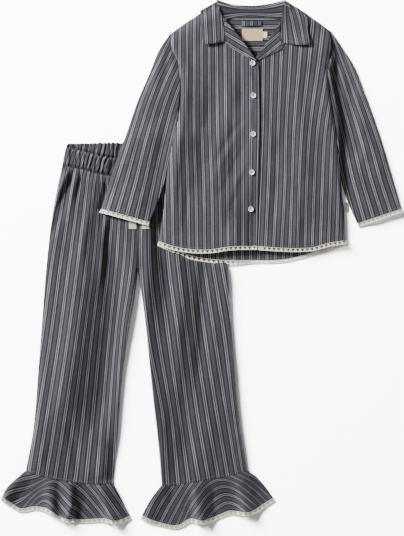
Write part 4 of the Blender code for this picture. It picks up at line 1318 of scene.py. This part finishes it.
def lace_band(node, place, bend, cells, columns, across, open_columns, materials, half_cells=0, layers=1):
    """A grid of the lace's rows, with the faces of its holes taken out before it gets its wall."""
    rows = len(LACE_ROWS) - 1
    piece = grid(f"{node}_trim", across, rows)
    edit(lambda: bpy.ops.mesh.select_all(action="DESELECT"))
    for face in piece.data.polygons:
        column = math.floor((face.center.x + 0.5) * across)
        row = math.floor((0.5 - face.center.y) * rows)
        face.select = row in LACE_HOLES and column in open_columns
    bpy.ops.object.mode_set(mode="EDIT")
    bpy.ops.mesh.delete(type="FACE")
    bpy.ops.object.mode_set(mode="OBJECT")

    def laced(s, t):
        t = np.interp(t, np.linspace(0, 1, rows + 1), LACE_ROWS)
        return columns(s, t), t

    def scalloped_bend(s, t, k):
        s, t = laced(s, t)
        scallop = 0.09 * np.abs(np.sin(s * cells * math.tau)) * (t > 0.99)
        return bend(s, t + scallop - 0.04 * (t > 0.99), k)

    def cut_of(s, t):
        s, t = laced(s, t)
        along = (s * across / 2 + half_cells / 2) * LACE_CELL
        return np.stack([along, t * LACE_WIDTH], axis=-1) / 1000

    add_wall(piece, scalloped_bend, cut_of)
    finish_piece(piece, materials["cotton_lace"], [node], 35)
    wide, long_, area = cut_size(place)
    wide, area = wide * layers, area * layers * LACE_SOLID
    long_ = max(long_, LEAST_SIDE)
    max(area, LEAST_AREA * wide * long_)


# ---------------------------------------------------------------- shirt


def outer_edge(side):
    """The shirt front's outer edge: the armhole down to the underarm, and the side seam from there to the hem."""
    armhole, seam = (ARMHOLE_RIGHT, SIDE_RIGHT) if side == "right" else (ARMHOLE_LEFT, SIDE_LEFT)
    return joined(path(armhole), path(seam), ARMHOLE_SHARE)


def make_shirt_body(materials):
    placket_edge = path(PLACKET_EDGE)
    placket_seam = moved(placket_edge, -PLACKET_WIDTH, 0)
    right = patch(
        path(SHOULDER_RIGHT + ROLL_RIGHT), path(HEM_FRONT_RIGHT),
        outer_edge("right"), moved(placket_seam, -CUT_GAP, 0),
    )  # fmt: skip
    left = patch(
        path((STAND_EDGE[0], *ROLL_LEFT[1:], *SHOULDER_LEFT)), path(HEM_FRONT_LEFT),
        path(STAND_EDGE), outer_edge("left"),
    )  # fmt: skip
    band = patch(path(PLACKET_TOP), path(PLACKET_HEM), moved(placket_seam, SEAM, 0), placket_edge)
    grain_right, grain_left = guided(GRAIN_FRONT_RIGHT), guided(GRAIN_FRONT_LEFT)
    for node, place, low, grain in (
        ("shirt_front_right", right, lapped_front, grain_right),
        ("shirt_front_left", left, shirt_front, grain_left),
        ("placket", band, lapped_front, grain_right),
    ):
        cloth(node, place, flat(place, low), by_place(place, grain), materials)

    armholes = [path(armhole) for armhole in (ARMHOLE_RIGHT, ARMHOLE_LEFT)]
    yoke_seam = path([armhole(YOKE_SHARE) for armhole in armholes])
    yoke_sides = [part_of(armhole, 0, YOKE_SHARE) for armhole in armholes]
    yoke = patch(path(SHOULDER_RIGHT[:-1] + NECK_BACK + SHOULDER_LEFT[1:]), moved(yoke_seam, 0, SEAM), *yoke_sides)
    back_sides = [part_of(outer_edge(side), YOKE_SHARE * ARMHOLE_SHARE, 1) for side in ("right", "left")]
    back = patch(yoke_seam, path(HEM_BACK), *back_sides)
    cloth("back_yoke", yoke, flat(yoke, ground), by_place(yoke, guided(GRAIN_YOKE, sideways=True)), materials)
    grain = by_place(back, straight((97, 30), 90, STRAIGHT_REPEAT))
    cloth("shirt_back", back, flat(back, shirt_back), grain, materials)


def make_sleeves(materials):
    for side, armhole, outer, inner, clear, grain in (
        ("right", ARMHOLE_RIGHT, SLEEVE_OUT_RIGHT, SLEEVE_IN_RIGHT, -CUT_GAP, GRAIN_SLEEVE_RIGHT),
        ("left", ARMHOLE_LEFT, SLEEVE_OUT_LEFT, SLEEVE_IN_LEFT, CUT_GAP, GRAIN_SLEEVE_LEFT),
    ):
        cuff = path((outer[-1], inner[-1]))
        sleeve = patch(moved(path(armhole), clear, 0), cuff, path(outer), path(inner))
        bend = folded(sleeve, ground, sleeve_front, SLEEVE_LAYER)
        cut_places = by_layers(sleeve, guided(grain), SLEEVE_LAYER)
        around = 2 * SLEEVE_LAYER + FOLD_ARC
        cloth(f"sleeve_{side}", sleeve, bend, cut_places, materials, around, layers=2)
        way = 1 if side == "right" else -1
        start, end = beside(cuff, way * CUT_GAP), beside(cuff, way * LACE_WIDTH)
        ends = [path((start(u), end(u))) for u in (0.0, 1.0)]
        make_cuff_lace(f"lace_cuff_{side}", patch(start, end, *ends), materials)


def make_cuff_lace(node, place, materials):
    """The cuff's lace, which goes round the folded sleeve."""
    layer = CUFF_CELLS * 2
    bend = folded(place, ground, sleeve_front, layer, wall=TRIM_WALL)
    around = 2 * layer + FOLD_ARC

    def columns(s, t):
        """The holes' columns on each layer, half a cell apart, with none in the fold."""
        step = np.rint(s * around)
        lower = lace_columns(step / layer, t, CUFF_CELLS, 1) * layer
        upper = lace_columns((step - layer - FOLD_ARC) / layer, t, CUFF_CELLS) * layer + layer + FOLD_ARC
        return np.where(step <= layer, lower, np.where(step >= layer + FOLD_ARC, upper, step)) / around

    open_columns = [*range(1, layer - 1, 2), *range(layer + FOLD_ARC + 2, around - 1, 2)]
    lace_band(node, place, bend, CUFF_CELLS * 2, columns, around, open_columns, materials, layers=2)


def make_collar(materials):
    sides = [path((COLLAR_TOP[i], COLLAR_SEAM[i])) for i in (0, -1)]
    stand = patch(path(COLLAR_TOP), path(COLLAR_SEAM), *sides)

    def across_first(s, t):
        return stand(t, s)

    bend = folded(across_first, ground, collar_roll, COLLAR_LAYER, FALL_SHARE)
    cut_places = by_layers(across_first, guided(GRAIN_COLLAR, sideways=True), COLLAR_LAYER, FALL_SHARE)
    around, layers = 2 * COLLAR_LAYER + FOLD_ARC, 1 + FALL_SHARE
    cloth("collar_back", across_first, bend, cut_places, materials, around, layers=layers)
    for name, edges, low, grain in (
        ("collar_leaf_right", LEAF_RIGHT, leaf_right, guided(GRAIN_LEAF_RIGHT)),
        ("collar_leaf_left", LEAF_LEFT, leaf_left, guided(GRAIN_LEAF_LEFT)),
        ("lapel_right", LAPEL_RIGHT, lapel_right, straight((108, 410), -31, 16)),
        ("lapel_left", LAPEL_LEFT, lapel_left, straight((122, 438), 40, 15)),
    ):
        place = cut(edges)
        cloth(name, place, flat(place, low), by_place(place, grain), materials, 26)


def make_shirt_lace(materials):
    front = path(HEM_FRONT_RIGHT[:-1] + ((109, 42.4),))
    make_lace("lace_hem_front_right", front, lapped_front, materials)
    make_lace("lace_hem_front_left", path(((111, 42), *HEM_FRONT_LEFT[1:])), shirt_front, materials)
    make_lace("lace_hem_back", path(HEM_BACK), shirt_back, materials)


def make_labels(materials):
    """The hanging loop, and three labels with nothing on them."""
    for node, corners, low, look, slot, below in (
        ("hanging_loop", HANGING_LOOP, loop_height, "striped_cotton", "striped_cotton", ["back_yoke"]),
        ("neck_label", NECK_LABEL, on_yoke, "woven_label", "woven_label", ["back_yoke"]),
        ("size_tab", SIZE_TAB, on_yoke, "size_label", "woven_label", ["back_yoke"]),
        ("side_label", SIDE_LABEL, on_yoke, "size_label", "woven_label", []),
    ):
        place = rectangle(*corners)
        wide, long_, _ = cut_size(place)
        piece = grid(f"{node}_tape", *(max(3, round(side * 1000 / 2)) for side in (wide, long_)))
        add_wall(piece, flat(place, low, TRIM_WALL), by_place(place, straight((99, 486), 90, STRAIGHT_REPEAT)))
        finish_piece(piece, materials[look], [node])


def make_button_disc(name):
    """A turned disc with a rim and a sunk middle, bored with two holes one above the other, at the origin."""
    deselect()
    bpy.ops.mesh.primitive_circle_add(vertices=BUTTON_SIDES, radius=BUTTON_RADIUS, fill_type="NGON")
    disc = added(name)

    def rings():
        bpy.ops.mesh.extrude_region_move(TRANSFORM_OT_translate={"value": (0, 0, BUTTON_HEIGHT * BUTTON_RINGS[0][1])})
        for (before, low), (after, high) in zip(BUTTON_RINGS[:-1], BUTTON_RINGS[1:], strict=True):
            bpy.ops.mesh.extrude_region_move(TRANSFORM_OT_translate={"value": (0, 0, BUTTON_HEIGHT * (high - low))})
            bpy.ops.transform.resize(value=(after / before, after / before, 1))

    edit(rings)
    face_outwards()
    for side in (-1, 1):
        deselect()
        bpy.ops.mesh.primitive_cylinder_add(vertices=14, radius=BORE_RADIUS, depth=8, location=(0, side * BORE_OUT, 0))
        drill = added("drill")
        disc.modifiers.new("hole", "BOOLEAN").object = drill
        bpy.context.view_layer.objects.active = disc
        bpy.ops.object.modifier_apply(modifier="hole")
        bpy.data.objects.remove(drill)
    return disc


def make_buttons(materials):
    """Five turned buttons and the thread that crosses from hole to hole."""
    first = make_button_disc("button_1_shell")
    discs = [first] + [first.copy() for _ in BUTTONS[1:]]
    threads = []
    plain = corners_of(first.data)
    for number, (button, disc) in enumerate(zip(BUTTONS, discs, strict=True), 1):
        if number > 1:
            disc.data = first.data.copy()
            bpy.context.scene.collection.objects.link(disc)
            disc.name = disc.data.name = f"button_{number}_shell"
        turn = math.radians(button.turn)
        swing = np.array(((math.cos(turn), math.sin(turn)), (-math.sin(turn), math.cos(turn))))
        centre = np.array((button.x, button.y), float)
        base = float(lapped_front(centre[None])[0]) + WALL + SEAM
        turned = plain.copy()
        turned[:, :2] = turned[:, :2] @ swing + centre
        turned[:, 2] += base
        finish_piece(disc, materials["shell_button"], [f"button_{number}"], 40)
        shape(disc, turned)
        for side in (-0.22, 0.22):
            deselect()
            bpy.ops.mesh.primitive_cylinder_add(vertices=8, radius=0.5, depth=4.1, end_fill_type="TRIFAN")
            strand = added("strand")
            lying = corners_of(strand.data)
            lying = np.stack([lying[:, 0] + side * 1.6, lying[:, 2], lying[:, 1]], axis=-1)
            lying[:, 2] += BUTTON_HEIGHT * 0.46 + 0.4 - 0.06 * lying[:, 1] ** 2
            lying[:, :2] = lying[:, :2] @ swing + centre
            lying[:, 2] += base
            shape(strand, lying)
            threads.append(strand)
    join_piece(threads, "button_thread", materials["button_thread"])


def through(place, *points):
    """A line on a piece, through those (s, t) points of it."""
    points = np.array(points, float)
    knots = np.linspace(0, 1, len(points))
    return lambda u: place(np.interp(u, knots, points[:, 0]), np.interp(u, knots, points[:, 1]))


def stitch_row(line, height, pitch=3.3, length=2.4, width=0.42, across=False):
    """A row of stitches that lie on the cloth along a line, or across it as on a worked buttonhole."""
    points = line(np.linspace(0, 1, 240))
    along = lengths_along(points)
    count = max(2, round(along[-1] / pitch))
    deselect()
    bpy.ops.mesh.primitive_uv_sphere_add(segments=6, ring_count=4, radius=1)
    row = added("stitches")
    modifier = row.modifiers.new("row", "ARRAY")
    modifier.count = count
    modifier.use_relative_offset = False
    bpy.ops.object.modifier_apply(modifier="row")
    one = corners_of(row.data).reshape(count, -1, 3)
    lengthways, sideways = one[..., 2] * length / 2, one[..., 0] * width
    if across:
        lengthways, sideways = sideways, lengthways
    where = (np.arange(count) + 0.5)[:, None] / count * along[-1] + lengthways

    def on_line(further):
        return np.stack([np.interp(where + further, along, points[:, axis]) for axis in (0, 1)], axis=-1)

    at = on_line(0) + to_right(unit(on_line(0.5) - on_line(-0.5))) * sideways[..., None]
    lift = height(at) + 0.1 + one[..., 1] * 0.26
    shape(row, np.concatenate([at, lift[..., None]], axis=-1).reshape(-1, 3))
    return row


def make_stitches(materials):
    """Lock stitches beside the seams and hems, the worked buttonholes, and the labels' ends."""
    placket = path(PLACKET_EDGE)
    cuffs = [path((outer[-1], inner[-1])) for outer, inner in (
        (SLEEVE_OUT_RIGHT, SLEEVE_IN_RIGHT), (SLEEVE_OUT_LEFT, SLEEVE_IN_LEFT),
    )]  # fmt: skip
    shirt_lines = (
        (part_of(moved(placket, -2.2, 0), 0.01, 0.99), lapped_front),
        (part_of(moved(placket, -PLACKET_WIDTH + 2, 0), 0.02, 0.99), lapped_front),
        (through(cut(LEAF_RIGHT), (0.1, 0.03), (0.1, 0.5), (0.1, 0.93), (0.55, 0.93), (0.97, 0.93)), leaf_right),
        (through(cut(LEAF_LEFT), (0.03, 0.93), (0.5, 0.93), (0.92, 0.93), (0.92, 0.5), (0.92, 0.04)), leaf_left),
        (through(cut(LAPEL_RIGHT), (0.06, 0.88), (0.5, 0.82), (0.96, 0.72)), lapel_right),
        (through(cut(LAPEL_LEFT), (0.04, 0.72), (0.5, 0.82), (0.94, 0.9)), lapel_left),
        (moved(path(HEM_FRONT_RIGHT), 0, HEM_STITCH), lapped_front),
        (part_of(moved(path(HEM_FRONT_LEFT), 0, HEM_STITCH), 0.05, 1), shirt_front),
        (moved(path(HEM_BACK), 0, HEM_STITCH), shirt_back),
        (moved(path(ARMHOLE_RIGHT), SEAM_STITCH, 0), shirt_front),
        (moved(path(ARMHOLE_LEFT), -SEAM_STITCH, 0), shirt_front),
        *((part_of(moved(cuff, 0, 4.4), 0.03, 0.97), sleeve_front) for cuff in cuffs),
    )
    leg_lines = (
        (moved(path(ANKLE_RIGHT), 0, HEM_STITCH), trouser_front),
        (moved(path(ANKLE_LEFT), 0, HEM_STITCH), trouser_front),
        (moved(path(FLOUNCE_HEM_RIGHT), 0, 3.6), flounce_front),
        (moved(path(FLOUNCE_HEM_LEFT), 0, 3.6), flounce_front),
        (moved(path(CENTRE_SEAM), SEAM_STITCH, 0), trouser_front),
        (part_of(moved(path(WAIST_SEAM_FRONT), 0, -HEM_STITCH), 0.02, 0.98), trouser_front),
    )
    for name, lines in (("shirt_stitches", shirt_lines), ("trouser_stitches", leg_lines)):
        rows = [stitch_row(line, on_top(low)) for line, low in lines]
        join_piece(rows, name, materials["sewing_thread"])

    x0, y0, x1, y1 = NECK_LABEL
    on_label = on_top(on_yoke, TRIM_WALL)
    ends = [stitch_row(path(((x, y1 - 1.5), (x, y0 + 1.5))), on_label, 2.6, 1.9, 0.35) for x in (x0 + 2, x1 - 2)]
    join_piece(ends, "label_stitches", materials["size_label"])
    x0, y0, x1, y1 = HANGING_LOOP
    on_loop, on_front = on_top(loop_height, TRIM_WALL), on_top(lapped_front)
    bars = [(((x, y1 - 1), (x, y0 + 1)), on_loop, 0.9) for x in (x0 + 2.4, x1 - 2.4)]
    bars += [(((x + 0.4, y + 7.4), (x - 0.4, y - 7.4)), on_front, 0.85) for x, y, _ in BUTTONS[1:]]
    rows = [stitch_row(path(ends), height, pitch, 3.0, 0.4, True) for ends, height, pitch in bars]
    join_piece(rows, "worked_buttonholes", materials["sewing_thread"])


def join_piece(parts, name, material):
    """Joins rows of sewing to one piece, which stands for no node."""
    deselect()
    for part in parts:
        part.select_set(True)
    bpy.context.view_layer.objects.active = parts[0]
    bpy.ops.object.join()
    piece = added(name)
    face_outwards()
    finish_piece(piece, material, [], 60)


# ---------------------------------------------------------------- floor, light and camera


def make_studio():
    """A pale floor in a soft room, and the lamps."""
    deselect()
    bpy.ops.mesh.primitive_plane_add(size=FLOOR_SIDE, location=(0, 0, 0))
    floor = added("pale_floor")
    places = corners_of(floor.data)
    places[:, 2] = -FLOOR_DROP
    floor.data.vertices.foreach_set("co", places.astype(np.float32).ravel())
    material, _, shader = base_material("pale_floor", 0.9)
    shader.inputs["Base Color"].default_value = (*FLOOR_WHITE, 1)
    floor.data.materials.append(material)

    world = bpy.data.worlds.new("soft_room")
    bpy.context.scene.world = world
    world.use_nodes = True
    world.node_tree.nodes["Background"].inputs["Color"].default_value = (1, 1, 1, 1)
    world.node_tree.nodes["Background"].inputs["Strength"].default_value = ROOM_LIGHT
    for name, lamps, state in (("unlit_floor", CLOTH_LAMPS, "EXCLUDE"), ("lit_floor", FLOOR_LAMPS, "INCLUDE")):
        receivers = bpy.data.collections.new(name)
        receivers.objects.link(floor)
        receivers.collection_objects[0].light_linking.link_state = state
        for lamp in lamps:
            add_light(*lamp).light_linking.receiver_collection = receivers


def add_light(name, place, size, power):
    """A square lamp, turned to the middle of the set."""
    light = bpy.data.lights.new(name, "AREA")
    light.size = size
    light.energy = power
    lamp = bpy.data.objects.new(name, light)
    lamp.location = place
    x, y, z = place
    lamp.rotation_euler = (math.atan2(math.hypot(x, y), z), 0, math.atan2(-y, -x) - math.pi / 2)
    bpy.context.scene.collection.objects.link(lamp)
    return lamp


def make_camera():
    camera = bpy.data.cameras.new("overhead")
    camera.sensor_fit = "VERTICAL"
    camera.sensor_height = 36
    camera.lens = CAMERA_LENS
    camera.clip_end = 30
    stand = bpy.data.objects.new("overhead", camera)
    stand.location = CAMERA_PLACE
    bpy.context.scene.collection.objects.link(stand)
    bpy.context.scene.camera = stand


def main():
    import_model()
    bpy.context.tool_settings.mesh_select_mode = (False, False, True)
    make_camera()
    materials = make_materials()
    make_trousers(materials)
    make_shirt_body(materials)
    make_sleeves(materials)
    make_collar(materials)
    make_shirt_lace(materials)
    make_labels(materials)
    make_buttons(materials)
    make_stitches(materials)
    make_studio()


main()
